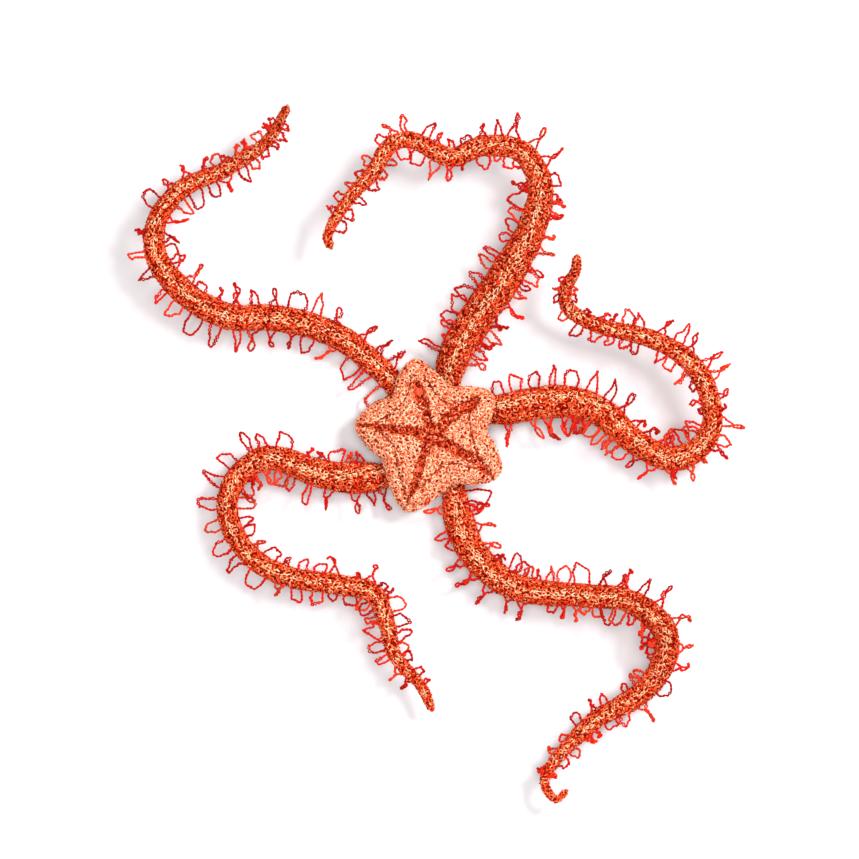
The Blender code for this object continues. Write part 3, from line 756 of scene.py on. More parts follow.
# How bright the thread is along an arm: marks of distance in millimetres and brightness
EVEN_BRIGHTNESS = ((0.0, 1.0),)
ARM_BRIGHTNESS = {
    "arm_upper_left": ((95.0, 1.0), (110.0, 0.85), (122.0, 0.75)),
    "arm_upper": ((0.0, 0.92), (50.0, 0.92), (85.0, 1.0)),
    "arm_right": ((100.0, 1.0), (120.0, 0.86)),
    "arm_lower_right": ((58.0, 1.0), (66.0, 0.9), (82.0, 0.9), (95.0, 1.0)),
}


def arm_unwrap(route, distances, turns):
    """A place on the bake's map, by the distance along an arm and the turn round it."""
    return np.stack([distances / route.length, turns / math.tau + 0.5], -1) * MAP_USED + MAP_MARGIN


for index, (name, route) in enumerate(routes.items()):
    draw = np.random.default_rng([SEED, index])
    area = math.tau * float(np.mean(route.radii)) * route.length
    tries = round(area * TRIES_PER_SQUARE_MM)
    distances = draw.uniform(0.0, route.length, tries)
    distances = distances[draw.uniform(0.0, route.radii.max(), tries) < route.at(distances)[1]]
    turns = draw.uniform(-math.pi, math.pi, len(distances))
    around = np.stack([np.sin(turns), np.cos(turns)], -1) * route.at(distances)[1][:, None]
    picked = spread(np.column_stack([distances, around]), HOLE_SPACING)
    distances, turns = distances[picked], turns[picked]
    places, facing = on_arm(route, distances, turns, STITCH_DEPTH)
    in_band = band_share(name, route, distances, turns)
    along = flat_on(facing, route.directions(distances)[0])
    palettes = (BAND_COLOURS, FLANK_COLOURS, ARM_HOLES)
    colours = stitch_colours(in_band * BAND_FULLNESS, *palettes, ARM_SEWING[0], draw)
    brightness = np.interp(distances, *np.transpose(ARM_BRIGHTNESS.get(name, EVEN_BRIGHTNESS)))
    colours[:, :3] *= np.repeat(brightness, ARM_SEWING[0] + 1)[:, None]
    stretch = 1 + (BAND_STRETCH - 1) * in_band
    unwrap = arm_unwrap(route, distances, turns)
    sewing = (colours, unwrap, draw, ARM_SEWING, stretch)
    sewn = stitches(f"{name}_stitches", rolls[name], places, facing, along, *sewing)
    settle(sewn, "orange_thread", *arm_nodes(name))

# %% [markdown]
# Both sides of every arm are edged with loops of hard-twisted red thread, which stand out like the
# spines of a brittle star. A loop's two legs leave the arm side by side. They may stay open, meet
# in a point, cross once and leave an eye, or wind round each other into a tail, so a form is a
# short chart of how far apart the legs are at each height and how far the pair has turned.

# %% The forms of the loops
LEG_FORMS = {
    "open": ((0.0, 0.9, 0.0), (0.45, 1.05, 0.0), (0.95, 0.95, 0.0), (1.0, 0.85, 0.0)),
    "point": ((0.0, 1.0, 0.0), (0.55, 0.72, 0.0), (0.9, 0.34, 0.0), (1.0, 0.0, 0.0)),
    "eye": (
        (0.0, 1.0, 0.0), (0.3, 0.5, 0.1), (0.48, 0.17, 0.5), (0.62, 0.42, 0.9), (0.82, 0.52, 1.0),
        (0.96, 0.3, 1.0), (1.0, 0.0, 1.0),
    ),
    "twist": (
        (0.0, 1.0, 0.0), (0.25, 0.42, 0.2), (0.42, 0.16, 0.8), (0.74, 0.16, 2.2), (0.88, 0.3, 3.0),
        (0.97, 0.22, 3.0), (1.0, 0.0, 3.0),
    ),
}
# Each look: its form, its width in millimetres and how far its top curls over, in degrees
LOOKS = {
    "open": ("open", 2.6, 0.0),
    "wide": ("open", 3.5, 0.0),
    "narrow": ("open", 1.3, 0.0),
    "point": ("point", 2.1, 0.0),
    "eye": ("eye", 2.1, 0.0),
    "twist": ("twist", 2.2, 0.0),
    "hook": ("twist", 2.0, 95.0),
    "clump": ("twist", 2.4, 40.0),
}
LEG_POINTS = 40
LEG_ROOT = 0.7
LOOP_RINGS = 50
# A short loop is narrower: the share of the width that it keeps, and how fast that grows
SHORT_WIDTH = 0.4
WIDTH_GROWTH = 5.5
WIDTH_SPREAD = (0.88, 1.12)
CURL_LENGTHENING = 260
CURL_FROM = 0.4
LEAN_BENDING = 1.5
RISES = (-0.08, 0.3)
TOP_TILT = 0.6
TOP_NARROWING = 0.8
# The number of bends along a loop and how far they lead it aside, small ones and large ones
KINKS = ((12, 0.18), (7, 0.24))


def evenly(line, count):
    """The same line with its points at equal distances."""
    runs = run_lengths(line)
    at = np.linspace(0.0, runs[-1], count)
    return np.stack([np.interp(at, runs, line[:, k]) for k in range(3)], axis=-1)


def along_loop(marks):
    """Values at equal distances along a loop, read at each of its rings."""
    return np.interp(np.linspace(0, len(marks) - 1, LOOP_RINGS), np.arange(len(marks)), marks)


def loop_line(look, reach, lean, draw):
    """A loop's line in the arm's own directions: along it, out from its side and up."""
    form, width, curl = LOOKS[look]
    width *= min(1.0, SHORT_WIDTH + reach / WIDTH_GROWTH) * draw.uniform(*WIDTH_SPREAD)
    heights, apart, turns = np.transpose(LEG_FORMS[form])
    share = np.linspace(0.0, 1.0, LEG_POINTS)
    half = np.interp(share, heights, apart) * width / 2
    half = half * (1 - draw.uniform(0.0, TOP_NARROWING) * share**3)
    turned = np.interp(share, heights, turns) * math.pi * draw.choice((-1, 1))
    length = math.hypot(reach, lean) * (1.0 + abs(curl) / CURL_LENGTHENING)
    bend = math.atan2(lean, reach) * LEAN_BENDING * share
    bend = bend + math.radians(curl) * (1 if lean >= 0 else -1) * blend_between(share, CURL_FROM, 1.0)
    aside = np.concatenate([[0.0], np.cumsum(np.sin(bend[1:]))]) * length / (LEG_POINTS - 1)
    away = np.concatenate([[0.0], np.cumsum(np.cos(bend[1:]))]) * length / (LEG_POINTS - 1)
    raised = draw.uniform(*RISES) * reach * share**2
    tilt = draw.uniform(-TOP_TILT, TOP_TILT) * share**2
    legs = []
    for sign in (-1, 1):
        beside = sign * half * np.cos(turned)
        leg = (aside + beside * np.cos(bend), away - beside * (np.sin(bend) + tilt))
        legs.append(np.stack([*leg, raised + sign * half * np.sin(turned)], axis=-1))
    roots = [leg[:1] - (0.0, LEG_ROOT, 0.0) for leg in legs]
    line = evenly(np.vstack([roots[0], legs[0], legs[1][::-1][1:], roots[1]]), LOOP_RINGS)
    for count, size in KINKS:
        kinks = draw.normal(0.0, size, (count, 3))
        kinks[[0, -1]] = 0.0
        line = line + np.stack([along_loop(kinks[:, k]) for k in range(3)], -1)
    return evenly(line, LOOP_RINGS)


print("forms", sorted(LEG_FORMS), "looks", sorted(LOOKS))

# %% [markdown]
# The loops are charted arm by arm from the photograph, left side and right side: the distance from
# the arm's start, how far the loop stands out, its look, and how far its far end leans towards the
# arm's tip. A chart is written as text, one loop after another, because that is easy to read.

# %% The chart of the loops
LOOP_CHART = {
    "arm_upper_left": {
        -1: """
            9.5 5.2 wide 0.3, 15.5 5.8 point 1.2, 19.5 4.3 wide 1.0, 26.5 4.0 twist 3.0, 33.0 3.8 open 1.2,
            37.0 3.8 eye 1.2, 42.5 4.7 eye 0.0, 47.0 5.0 eye 1.0, 50.5 5.0 narrow 0.0, 54.3 5.0 open 0.2,
            59.0 5.0 wide 0.0, 63.5 4.2 open 0.0, 67.3 4.0 point 0.0, 72.0 3.8 point 0.2,
            76.0 3.5 narrow 0.0, 80.0 2.0 clump 0.3, 86.5 3.4 wide 0.0, 91.0 2.2 eye -0.4,
            94.7 3.5 twist 0.0, 99.0 2.5 hook 1.0, 102.0 2.7 open 0.8, 105.0 1.5 hook -0.4,
            108.0 1.8 hook 0.4, 110.3 2.2 clump 0.2, 114.2 2.0 open 0.0, 117.7 1.8 clump 0.2,
            119.7 1.0 open 0.0""",
        1: """
            13.0 4.6 eye -0.2, 17.0 4.5 eye -0.9, 22.0 4.5 eye -0.9, 28.5 3.7 eye 0.0, 33.0 5.5 point 0.2,
            37.8 3.8 wide 0.0, 42.0 3.8 eye 0.2, 46.0 4.0 point 1.1, 50.8 4.5 clump 0.3, 56.5 2.8 eye 0.0,
            61.8 2.0 wide 0.2, 65.0 4.5 twist 0.1, 70.5 3.5 eye 1.0, 74.5 2.5 wide 0.4, 80.0 4.0 eye -1.0,
            85.0 4.5 twist 2.6, 90.0 4.7 point 0.2, 95.0 4.2 open -1.0, 99.7 3.5 open 0.1,
            102.8 4.0 twist 0.0, 107.0 3.7 point 0.0, 109.7 2.3 open 0.0, 112.8 1.7 open 0.1,
            115.5 1.7 point 0.0, 117.7 2.4 point 0.2, 119.8 1.6 point 0.0""",
    },
    "arm_upper": {
        -1: """
            14.0 5.0 narrow 0.2, 17.2 1.5 open 0.0, 19.5 3.0 point 0.1, 21.2 3.4 open 0.1,
            24.3 3.4 wide 0.0, 28.0 3.9 wide 0.2, 32.0 3.9 point 1.1, 36.6 3.6 point 1.0,
            39.5 4.0 narrow 0.2, 43.8 2.3 open 1.0, 47.4 3.0 open 1.0, 50.6 3.0 open 0.9, 55.0 4.2 wide 0.1,
            59.3 3.3 clump 0.4, 65.0 1.5 twist 0.1, 70.0 3.0 open 0.0, 73.5 1.0 open 0.0, 78.0 3.0 open 0.0,
            83.0 1.5 twist 0.2, 85.0 3.8 narrow 0.0, 87.6 4.3 point 0.1, 91.5 3.7 open 0.0,
            98.0 2.7 open 0.0, 103.5 1.8 open 0.1, 106.7 1.8 open 0.0, 109.7 1.7 open -0.6,
            114.5 2.4 open 0.0, 118.8 2.6 open 0.1, 122.0 2.5 open 0.8""",
        1: """
            14.4 4.8 eye 0.1, 17.0 4.0 point 0.0, 20.0 3.7 clump 0.3, 22.5 4.6 point 0.2,
            26.0 3.2 clump 0.2, 30.2 5.6 twist 0.2, 34.0 3.0 point 0.8, 36.3 3.5 point 0.2,
            38.8 3.8 open 0.1, 40.8 4.0 eye 0.0, 45.0 4.0 eye 0.9, 48.0 2.7 hook 0.9, 52.6 3.2 clump 0.2,
            55.5 3.0 clump -0.2, 59.6 2.0 wide 0.0, 63.3 6.0 twist 1.2, 67.0 5.5 eye 1.1, 70.5 6.0 eye 1.0,
            73.5 3.8 point 0.9, 76.8 3.5 eye -0.9, 80.0 1.3 wide 0.0, 84.8 2.0 open 0.0, 89.5 3.0 twist 0.2,
            92.3 3.8 point -0.9, 96.3 3.8 narrow 0.8, 98.5 3.5 eye 0.8, 100.7 2.0 open 0.0,
            105.7 2.5 open 0.0, 109.5 1.0 wide 0.0, 113.0 1.0 open 0.0, 116.6 1.7 open 0.1,
            119.6 1.9 point 0.0""",
    },
    "arm_right": {
        -1: """
            12.0 3.3 open 1.2, 16.2 3.4 open 0.9, 20.4 4.0 open 0.4, 24.2 4.3 narrow 0.3,
            28.0 4.1 open -0.3, 32.2 5.2 point 0.1, 35.6 5.0 point -1.5, 39.0 5.3 eye -1.0,
            43.5 2.5 hook 2.4, 47.6 2.5 hook 1.4, 52.0 4.0 clump 0.5, 56.0 3.4 eye 0.3, 60.5 3.5 open 0.4,
            64.0 3.2 open 0.5, 68.0 4.4 point 0.6, 72.5 1.3 hook 1.0, 75.4 3.0 eye 0.1, 79.5 1.3 wide 0.1,
            83.2 4.2 twist -0.6, 88.4 2.9 open 0.3, 91.6 2.6 point 0.3, 98.3 2.4 open 0.1,
            101.1 2.2 open 0.0, 104.5 2.0 open 0.1, 107.6 2.6 point 0.8, 111.7 3.3 open 0.6,
            115.5 2.2 point 0.5, 118.8 1.1 open 0.2, 120.7 1.3 point 0.1, 122.6 1.3 open 0.1""",
        1: """
            13.3 5.2 twist -1.4, 18.8 5.0 eye 1.6, 22.8 5.4 clump 0.6, 27.4 4.7 eye 0.3,
            30.4 5.0 clump -0.6, 33.4 4.0 clump -0.8, 36.4 3.8 open -1.2, 39.2 4.4 point 0.4,
            41.4 4.4 eye 0.1, 43.2 4.2 point -0.3, 45.2 3.0 wide -1.2, 48.5 4.2 twist -1.1,
            51.9 4.7 twist -1.2, 55.5 2.8 clump 0.2, 59.0 3.5 eye -0.5, 61.6 1.2 hook 0.9,
            64.9 4.0 twist -1.1, 66.6 3.0 point -0.2, 70.0 5.3 eye -0.9, 72.5 1.3 hook 0.5,
            75.2 2.6 eye 0.9, 79.6 5.2 eye 1.2, 82.4 5.5 eye 0.2, 86.6 4.2 twist 1.1, 89.7 5.1 point -0.6,
            93.7 3.7 twist -2.0, 98.8 3.3 point 1.1, 101.2 3.5 open 0.2, 105.0 2.1 twist -1.0,
            107.5 1.6 hook -0.9, 112.0 1.4 hook -0.9, 118.8 1.3 wide 0.2, 121.4 0.9 open 0.2""",
    },
    "arm_lower_right": {
        -1: """
            10.2 5.2 open 1.1, 13.5 4.5 clump -0.3, 18.4 4.8 twist 1.2, 24.2 3.0 eye 2.6,
            28.8 2.1 clump 1.0, 33.6 3.3 open 1.2, 35.8 3.2 open 1.1, 38.4 3.1 point 1.2, 41.0 3.0 eye 0.6,
            44.0 4.0 point 0.7, 47.4 4.2 open 0.1, 51.4 4.2 wide 0.1, 56.6 3.5 eye 1.3, 61.0 4.6 clump 0.4,
            64.3 4.0 point 0.6, 68.4 5.5 twist -0.1, 72.6 4.0 hook 0.5, 77.2 3.8 twist -0.8,
            80.8 3.7 hook -0.5, 85.8 2.7 wide 0.0, 91.2 4.8 twist -0.3, 95.6 2.4 wide 0.0,
            99.4 2.2 wide 0.1, 103.4 2.3 twist 0.2, 106.4 2.1 clump -0.6, 110.9 2.0 point -0.5,
            114.3 1.4 wide 0.2, 118.6 1.1 clump 0.2""",
        1: """
            12.5 4.8 eye 0.1, 17.5 3.8 point 0.2, 20.0 1.6 wide -0.2, 23.8 4.8 eye -0.1,
            27.2 4.5 clump -0.7, 31.4 5.2 twist -0.2, 35.8 3.7 twist 0.8, 38.9 4.2 twist -0.8,
            44.9 1.9 open 0.9, 47.7 3.8 eye 0.2, 50.6 3.8 twist -0.1, 52.7 1.6 open 0.2, 55.4 2.9 open 0.9,
            58.4 4.2 wide -0.5, 61.4 4.0 open -1.2, 65.4 3.2 point 0.3, 69.4 3.0 clump 0.8,
            73.2 3.4 eye 0.6, 76.4 3.6 clump 0.4, 80.4 2.1 hook -0.8, 86.3 2.6 point 0.8,
            88.8 2.8 point 0.2, 92.6 2.0 open 0.0, 98.1 2.5 point 0.2, 101.1 2.7 twist -0.4,
            105.3 2.3 open 0.1, 110.0 1.3 open 0.1, 114.0 1.7 point 0.2, 118.2 1.3 clump 0.3""",
    },
    "arm_lower_left": {
        -1: """
            9.9 5.0 twist -0.4, 12.0 2.8 point -0.2, 15.6 5.0 eye -0.9, 21.0 5.0 eye 0.3,
            25.2 4.7 narrow -0.1, 29.5 3.4 open 0.0, 32.2 4.0 open -0.7, 34.8 3.4 open -0.4,
            38.0 3.2 eye 0.2, 42.0 3.0 clump 0.6, 45.4 3.0 open 0.9, 48.4 3.5 eye 1.1, 51.2 4.0 open 0.2,
            57.0 2.6 open 1.2, 60.0 3.0 open 0.1, 64.8 2.6 eye 0.0, 69.4 2.8 wide 0.0, 73.3 2.1 eye 0.9,
            78.2 2.8 point 0.5, 82.3 2.5 open 0.0, 85.6 3.6 hook -1.4, 91.0 1.1 clump 0.3,
            93.5 4.0 twist 0.1, 95.6 1.7 open 0.0, 96.9 3.0 twist 0.0, 99.4 4.0 wide 0.0,
            103.0 2.8 wide 0.0, 106.3 2.8 open 0.2, 109.7 2.1 wide 0.6, 112.5 1.7 open 0.0,
            117.0 2.1 open 0.1, 119.6 1.1 point 0.0""",
        1: """
            14.6 2.8 point 1.4, 17.1 3.2 twist -0.2, 20.4 3.4 wide 0.7, 24.4 1.8 hook 1.0,
            28.3 2.3 hook -0.4, 33.5 3.3 wide 0.1, 37.2 4.0 point 0.1, 39.2 4.6 narrow -0.3,
            43.6 4.4 open 0.5, 47.7 5.0 point -0.4, 51.9 4.4 open 0.0, 56.0 3.7 open 0.1, 60.4 3.6 wide 0.0,
            64.2 4.3 point 0.1, 69.0 4.0 wide -0.2, 74.0 3.0 twist -0.6, 77.8 2.8 open -0.1,
            82.3 2.7 wide 0.1, 86.1 1.9 point 0.1, 90.0 2.3 wide -0.2, 94.6 3.0 open 0.1, 97.9 3.0 open 0.1,
            101.0 2.8 narrow 0.0, 104.0 3.2 wide 0.1, 107.8 3.8 open -0.1, 110.3 3.6 narrow 0.0,
            113.8 3.3 twist 0.0, 117.0 2.3 twist 0.1""",
    },
}


def read_chart(text):
    """The loops of a chart, each with its numbers and the name of its look."""
    rows = [row.split() for row in text.split(",")]
    return [(float(at), float(reach), look, float(lean)) for at, reach, look, lean in rows]


print("loops", sum(len(read_chart(side)) for arm in LOOP_CHART.values() for side in arm.values()))

# %% [markdown]
# The thread of a loop is two strands wound round each other, and it is modelled that way, because
# the winding is what breaks up its edge. One straight strand is cut into rings once. For every
# loop it is then bent along the loop's line, twice, half a turn apart.

# %% The looped edging of the arms
STRAND_SIDES = 5
STRAND_RADIUS = 0.19
STRAND_OFFSET = 0.1
STRAND_TWIST = 1.8
# Where the twist is loose and where a strand is thick: the number of marks and what is drawn there
LOOSE_MARKS = 9
LOOSENESS = (-3.0, 1.4)
LOOSE_OFFSET = 0.22
SWELL_MARKS = 17
STRAND_SWELL = 0.45
DYE_MARKS = 9
UNEVEN_DYE = (0.8, 1.2)
OFF_PLUMB = np.array((0.013, 0.007, 0.0))
# How a loop stands on the arm: its turn round the arm and how far it rises, both in degrees
LOOP_TURNS = (56.0, 82.0)
LOOP_RISES = (-8.0, 14.0)
FOOT_DEPTH = 0.2
CLUMP_SPREAD = 0.9
SECOND_IS_SHORTER = 0.25

strand_points, STRAND_FACES = template_of(straight_tube(STRAND_SIDES, LOOP_RINGS - 2))
STRAND_RING = np.round(strand_points[:, 2] * (LOOP_RINGS - 1)).astype(int)
STRAND_TURN = np.arctan2(strand_points[:, 1], strand_points[:, 0])


def wound_round(side, lifted, turns):
    """Directions at turns round a line, between its side and its lifted direction."""
    return side * np.cos(turns)[:, None] + lifted * np.sin(turns)[:, None]


def strands_along(line, up, draw):
    """The points of the two strands of a thread that follows the line. Here and there the twist
    is loose and the strands part a little."""
    loose = along_loop(draw.uniform(*LOOSENESS, LOOSE_MARKS))
    offset = (STRAND_OFFSET + LOOSE_OFFSET * np.clip(loose, 0.0, 1.0))[:, None]
    forward = unit(np.gradient(line, axis=0))
    side = unit(np.cross(forward, up + OFF_PLUMB))
    lifted = np.cross(forward, side)
    swell = along_loop(draw.uniform(0.0, 1.0, SWELL_MARKS) ** 3)
    radius = (STRAND_RADIUS * (1 + STRAND_SWELL * swell))[STRAND_RING, None]
    around = radius * wound_round(side[STRAND_RING], lifted[STRAND_RING], STRAND_TURN)
    strands = []
    for half_turn in (0.0, math.pi):
        wound = math.tau * run_lengths(line) / STRAND_TWIST + half_turn
        core = line + offset * wound_round(side, lifted, wound)
        strands.append(core[STRAND_RING] + around)
    return strands


def one_loop(route, side, distance, reach, look, lean, draw):
    """The points of a loop's two strands, and its place on the bake's map."""
    at = np.array([distance])
    turn = np.array([side * math.radians(draw.uniform(*LOOP_TURNS))])
    foot = on_arm(route, at, turn, FOOT_DEPTH)[0]
    along, right, up = (vector[0] for vector in route.directions(at))
    raised = math.radians(draw.uniform(*LOOP_RISES))
    out = right * side * math.cos(raised) + up * math.sin(raised)
    over = up * math.cos(raised) - right * side * math.sin(raised)
    line = loop_line(look, reach, lean, draw)
    line = foot + line[:, :1] * along + line[:, 1:2] * out + line[:, 2:] * over
    line[:, 2] = np.maximum(line[:, 2], STRAND_RADIUS + STRAND_OFFSET + FLOOR_CLEARANCE)
    return strands_along(line, over, draw), arm_unwrap(route, at, turn)


for index, (name, route) in enumerate(routes.items()):
    draw = np.random.default_rng([SEED, 100 + index])
    points, places = [], []
    for side, chart in LOOP_CHART[name].items():
        for distance, reach, look, lean in read_chart(chart):
            for n, one_look in enumerate((look, "eye") if look == "clump" else (look,)):
                at = distance + n * draw.uniform(-CLUMP_SPREAD, CLUMP_SPREAD)
                shorter = reach * (1 - SECOND_IS_SHORTER * n)
                strands, place = one_loop(route, side, at, shorter, one_look, lean, draw)
                points.extend(strands)
                places.extend([place, place])
    points = np.array(points)
    count = len(points) // 2
    uneven = draw.uniform(*UNEVEN_DYE, (count, DYE_MARKS))
    part = STRAND_RING * DYE_MARKS // (LOOP_RINGS + 1)
    colours = drawn_colours(LOOP_COLOURS, count, draw)[:, None] * uneven[:, part, None]
    colours = np.repeat(np.clip(colours, 0.0, 1.0), 2, axis=0)
    on_patch = np.stack([STRAND_RING / LOOP_RINGS - 0.5, STRAND_TURN / math.tau], -1) * STITCH_PATCH
    unwrapped = np.array(places) + on_patch
    no_lay = np.zeros_like(points)
    edging = joined_mesh(f"{name}_loops", STRAND_FACES, points, colours, unwrapped, no_lay, LOOP_THREAD)
    settle(edging, "red_thread", *arm_nodes(name))

# %% [markdown]
# The disc is a padded star of five round lobes that lies over the arms. A cushion's skin is one
# closed surface, so a tube cut into rings is drawn together at both ends, and each of its points is
# then set by the disc's own shape: the outline, a puffed edge, a red star sunk along the middle of
# each lobe, and a crease inside the edge. Pressing these in with a formula stands in for a cloth
# simulation: the disc is stiff with stitches, and a simulation would smooth its creases away.

# %% The disc's shape
# The outline as marks of bearing and reach
OUTLINE = (
    (4.0, 13.1), (19.0, 15.2), (34.0, 17.4), (48.4, 15.2),
    (68.0, 12.6), (87.0, 15.2), (102.0, 18.4), (120.0, 15.6),
    (133.0, 13.1), (153.7, 15.7), (171.0, 17.8), (190.0, 15.0),
    (207.0, 12.7), (234.0, 15.6), (252.5, 18.5), (275.0, 14.4),
    (297.5, 12.5), (314.5, 15.8), (331.0, 18.3), (347.0, 16.0),
)
MARK_STEPS = 12
NOTCH_REACH = 12.5
LOBE_REACH = 17.6
# The sunken star's arms as pixels of the photograph, with half their width in millimetres
RAY_PIXELS = (
    ((431, 436, 1.6), (441, 426, 1.4), (453, 415, 1.4), (471, 404, 1.4), (477, 399, 0.7)),
    ((431, 436, 1.6), (427, 416, 1.0), (421, 399, 1.2), (419, 391, 1.3), (416, 382, 0.7)),
    (
        (431, 436, 1.6), (414, 432, 1.1), (400, 430, 1.0), (386, 428, 0.8), (371, 426, 0.5),
        (358, 425, 0.3),
    ),
    (
        (431, 436, 1.6), (424, 454, 0.9), (419, 469, 1.1), (416, 481, 0.85), (413, 490, 0.6),
        (407, 502, 0.3),
    ),
    (
        (431, 436, 1.6), (439, 440, 1.4), (450, 446, 1.3), (473, 459, 1.2), (483, 468, 0.9),
        (493, 477, 0.3),
    ),
)
RAY_STEPS = 6
# The creases as pixels of the photograph: one round each notch, from lobe to lobe, and a short fold
CREASE_PIXELS = (
    ((471, 410), (469, 420), (470, 428), (472, 436), (475, 446), (478, 455), (485, 463), (492, 471)),
    ((424, 376), (429, 384), (434, 392), (438, 397), (445, 402), (453, 403), (462, 401)),
    ((371, 426), (380, 420), (389, 415), (397, 409), (404, 401), (408, 393), (410, 383), (411, 375)),
    ((374, 428), (384, 436), (392, 444), (396, 454), (397, 466), (400, 478), (406, 497)),
    ((417, 494), (426, 482), (433, 474), (441, 467), (449, 464), (458, 464), (469, 467), (481, 471)),
    ((476, 399), (475, 403), (475, 408)),
)
CREASE_STEPS = 8
FAR_OUT = 99.0
STAR_EDGE = (-0.2, 0.3)


def smooth_outline():
    """The outline as closely spaced bearings and reaches, on one smooth line through its marks."""
    angles, reaches = np.transpose(OUTLINE)
    t = np.linspace(0, 1, MARK_STEPS, endpoint=False)
    bearings, out = [], []
    for k in range(len(OUTLINE)):
        near = [(k + step) % len(OUTLINE) for step in (-1, 0, 1, 2)]
        angle = (angles[near] - angles[k] + 180) % 360 - 180
        before, start, end, after = reaches[near]
        span = angle[2] - angle[1]
        leaving = (end - before) / (angle[2] - angle[0]) * span
        arriving = (after - start) / (angle[3] - angle[1]) * span
        bearings.append(angles[k] + span * t)
        out.append(curve_between(start, end, leaving, arriving, t))
    return np.concatenate(bearings) % 360, np.concatenate(out)


SMOOTH_BEARINGS, SMOOTH_REACHES = smooth_outline()


def outline_reach(bearings):
    return np.interp(bearings % 360, SMOOTH_BEARINGS, SMOOTH_REACHES, period=360)


def lobe_share(bearings):
    """0 at the bearing of a notch and 1 at a lobe's tip."""
    return np.clip((outline_reach(bearings) - NOTCH_REACH) / (LOBE_REACH - NOTCH_REACH), 0.0, 1.0)


def line_through(chart, steps):
    """A smooth line through pixels of the photograph, in millimetres, with half its width."""
    marks = np.array([(*from_photo(px, py), *(half or [0.0])) for px, py, *half in chart])
    padded = np.vstack([2 * marks[0] - marks[1], marks, 2 * marks[-1] - marks[-2]])
    t = np.linspace(0, 1, steps, endpoint=False)[:, None]
    spans = [
        curve_between(start, end, (end - before) / 2, (after - start) / 2, t)
        for before, start, end, after in zip(padded, padded[1:], padded[2:], padded[3:])
    ]
    return np.vstack([*spans, marks[-1:]])


RAYS = [line_through(chart, RAY_STEPS) for chart in RAY_PIXELS]
CREASES = [line_through(chart, CREASE_STEPS) for chart in CREASE_PIXELS]


def inward(lines, x, y):
    """How far points lie inside the nearest of some wide lines, and less than 0 outside them."""
    deepest = np.full(x.shape, -FAR_OUT)
    for px, py, half in np.vstack(lines):
        deepest = np.maximum(deepest, half - np.hypot(x - px, y - py))
    return deepest


def off_crease(x, y):
    return -inward(CREASES, x, y)


def ray_share(x, y):
    """1 in the middle of the sunken star, 0 up on the pads."""
    return blend_between(inward(RAYS, x, y), *STAR_EDGE)


print("outline reaches", round(SMOOTH_REACHES.min(), 1), "to", round(SMOOTH_REACHES.max(), 1), "mm")

# %% [markdown]
# The underside of the disc hangs a little lower at the tips of the lobes and lies over the arms.
# The top is the underside and the disc's thickness, with the star, the creases and the hollow in
# the middle taken off, and the puff beside each crease added.

# %% The disc's heights
UNDERSIDE_MIDDLE = 6.6
UNDERSIDE_LOBE_TIP = 4.7
DRAPE_CLEARANCE = 0.6
DRAPED_WITHIN = 24.0
EDGE_SHARE = 0.95
THICKNESS_MIDDLE = 4.9
THICKNESS_EDGE = 3.0
# The higher, the more suddenly the skin turns over at the edge
TOP_ROUNDING = 6
UNDER_ROUNDING = 14
HUB_HOLLOW = 0.8
HUB_HOLLOW_WIDTH = 4.5
RAY_DEPTH = 0.9
CREASE_DEPTH = 0.5
CREASE_HALF_WIDTH = 0.3
CREASE_LOST_IN_STAR = 0.85
HEM_PUFF = 0.45
HEM_FROM_CREASE = 1.5
HEM_HALF_WIDTH = 0.9


def bell(values, half_width):
    """1 at 0, and falling off on both sides as a bell does."""
    return np.exp(-((values / half_width) ** 2))


def top_of_arms(x, y):
    """Height of the arms at points, or 0 beside them, with the clearance that the disc keeps."""
    highest = np.zeros_like(x)
    for route in routes.values():
        under_disc = np.hypot(route.points[:, 0], route.points[:, 1]) < DRAPED_WITHIN
        for point, radius in zip(route.points[under_disc], route.radii[under_disc]):
            room = (radius + DRAPE_CLEARANCE) ** 2 - (x - point[0]) ** 2 - (y - point[1]) ** 2
            highest = np.maximum(highest, np.where(room > 0, point[2] + np.sqrt(np.abs(room)), 0.0))
    return highest


def underside_height(bearings, shares):
    turn = np.radians(bearings)
    reach = outline_reach(bearings) * shares
    droop = (UNDERSIDE_MIDDLE - UNDERSIDE_LOBE_TIP) * lobe_share(bearings) * shares**2
    return np.maximum(UNDERSIDE_MIDDLE - droop, top_of_arms(reach * np.cos(turn), reach * np.sin(turn)))


def disc_heights(bearings, shares, is_top):
    """The height of the disc's skin at points of its top or of its underside."""
    turn = np.radians(bearings)
    reach = outline_reach(bearings) * shares
    x, y = reach * np.cos(turn), reach * np.sin(turn)
    edge_height = underside_height(bearings, EDGE_SHARE)
    under = UNDERSIDE_MIDDLE + (edge_height - UNDERSIDE_MIDDLE) * shares**2
    under = np.where(is_top, under, np.maximum(under, underside_height(bearings, shares)))
    thickness = THICKNESS_MIDDLE + (THICKNESS_EDGE - THICKNESS_MIDDLE) * shares**2
    fall = shares ** np.where(is_top, TOP_ROUNDING, UNDER_ROUNDING)
    rise = 0.5 + np.where(is_top, 0.5, -0.5) * np.sqrt(np.maximum(1 - fall, 0.0))
    hollow = HUB_HOLLOW * bell(reach, HUB_HOLLOW_WIDTH) * rise
    in_ray = ray_share(x, y)
    aside = off_crease(x, y)
    crease = CREASE_DEPTH * bell(aside, CREASE_HALF_WIDTH) * (1 - CREASE_LOST_IN_STAR * in_ray)
    puffed = HEM_PUFF * bell(aside - HEM_FROM_CREASE, HEM_HALF_WIDTH) * (1 - in_ray)
    pressed = np.where(is_top, RAY_DEPTH * in_ray + crease - puffed, 0.0)
    return under + thickness * rise - hollow - pressed - STITCH_DEPTH * np.where(is_top, 1.0, -1.0)


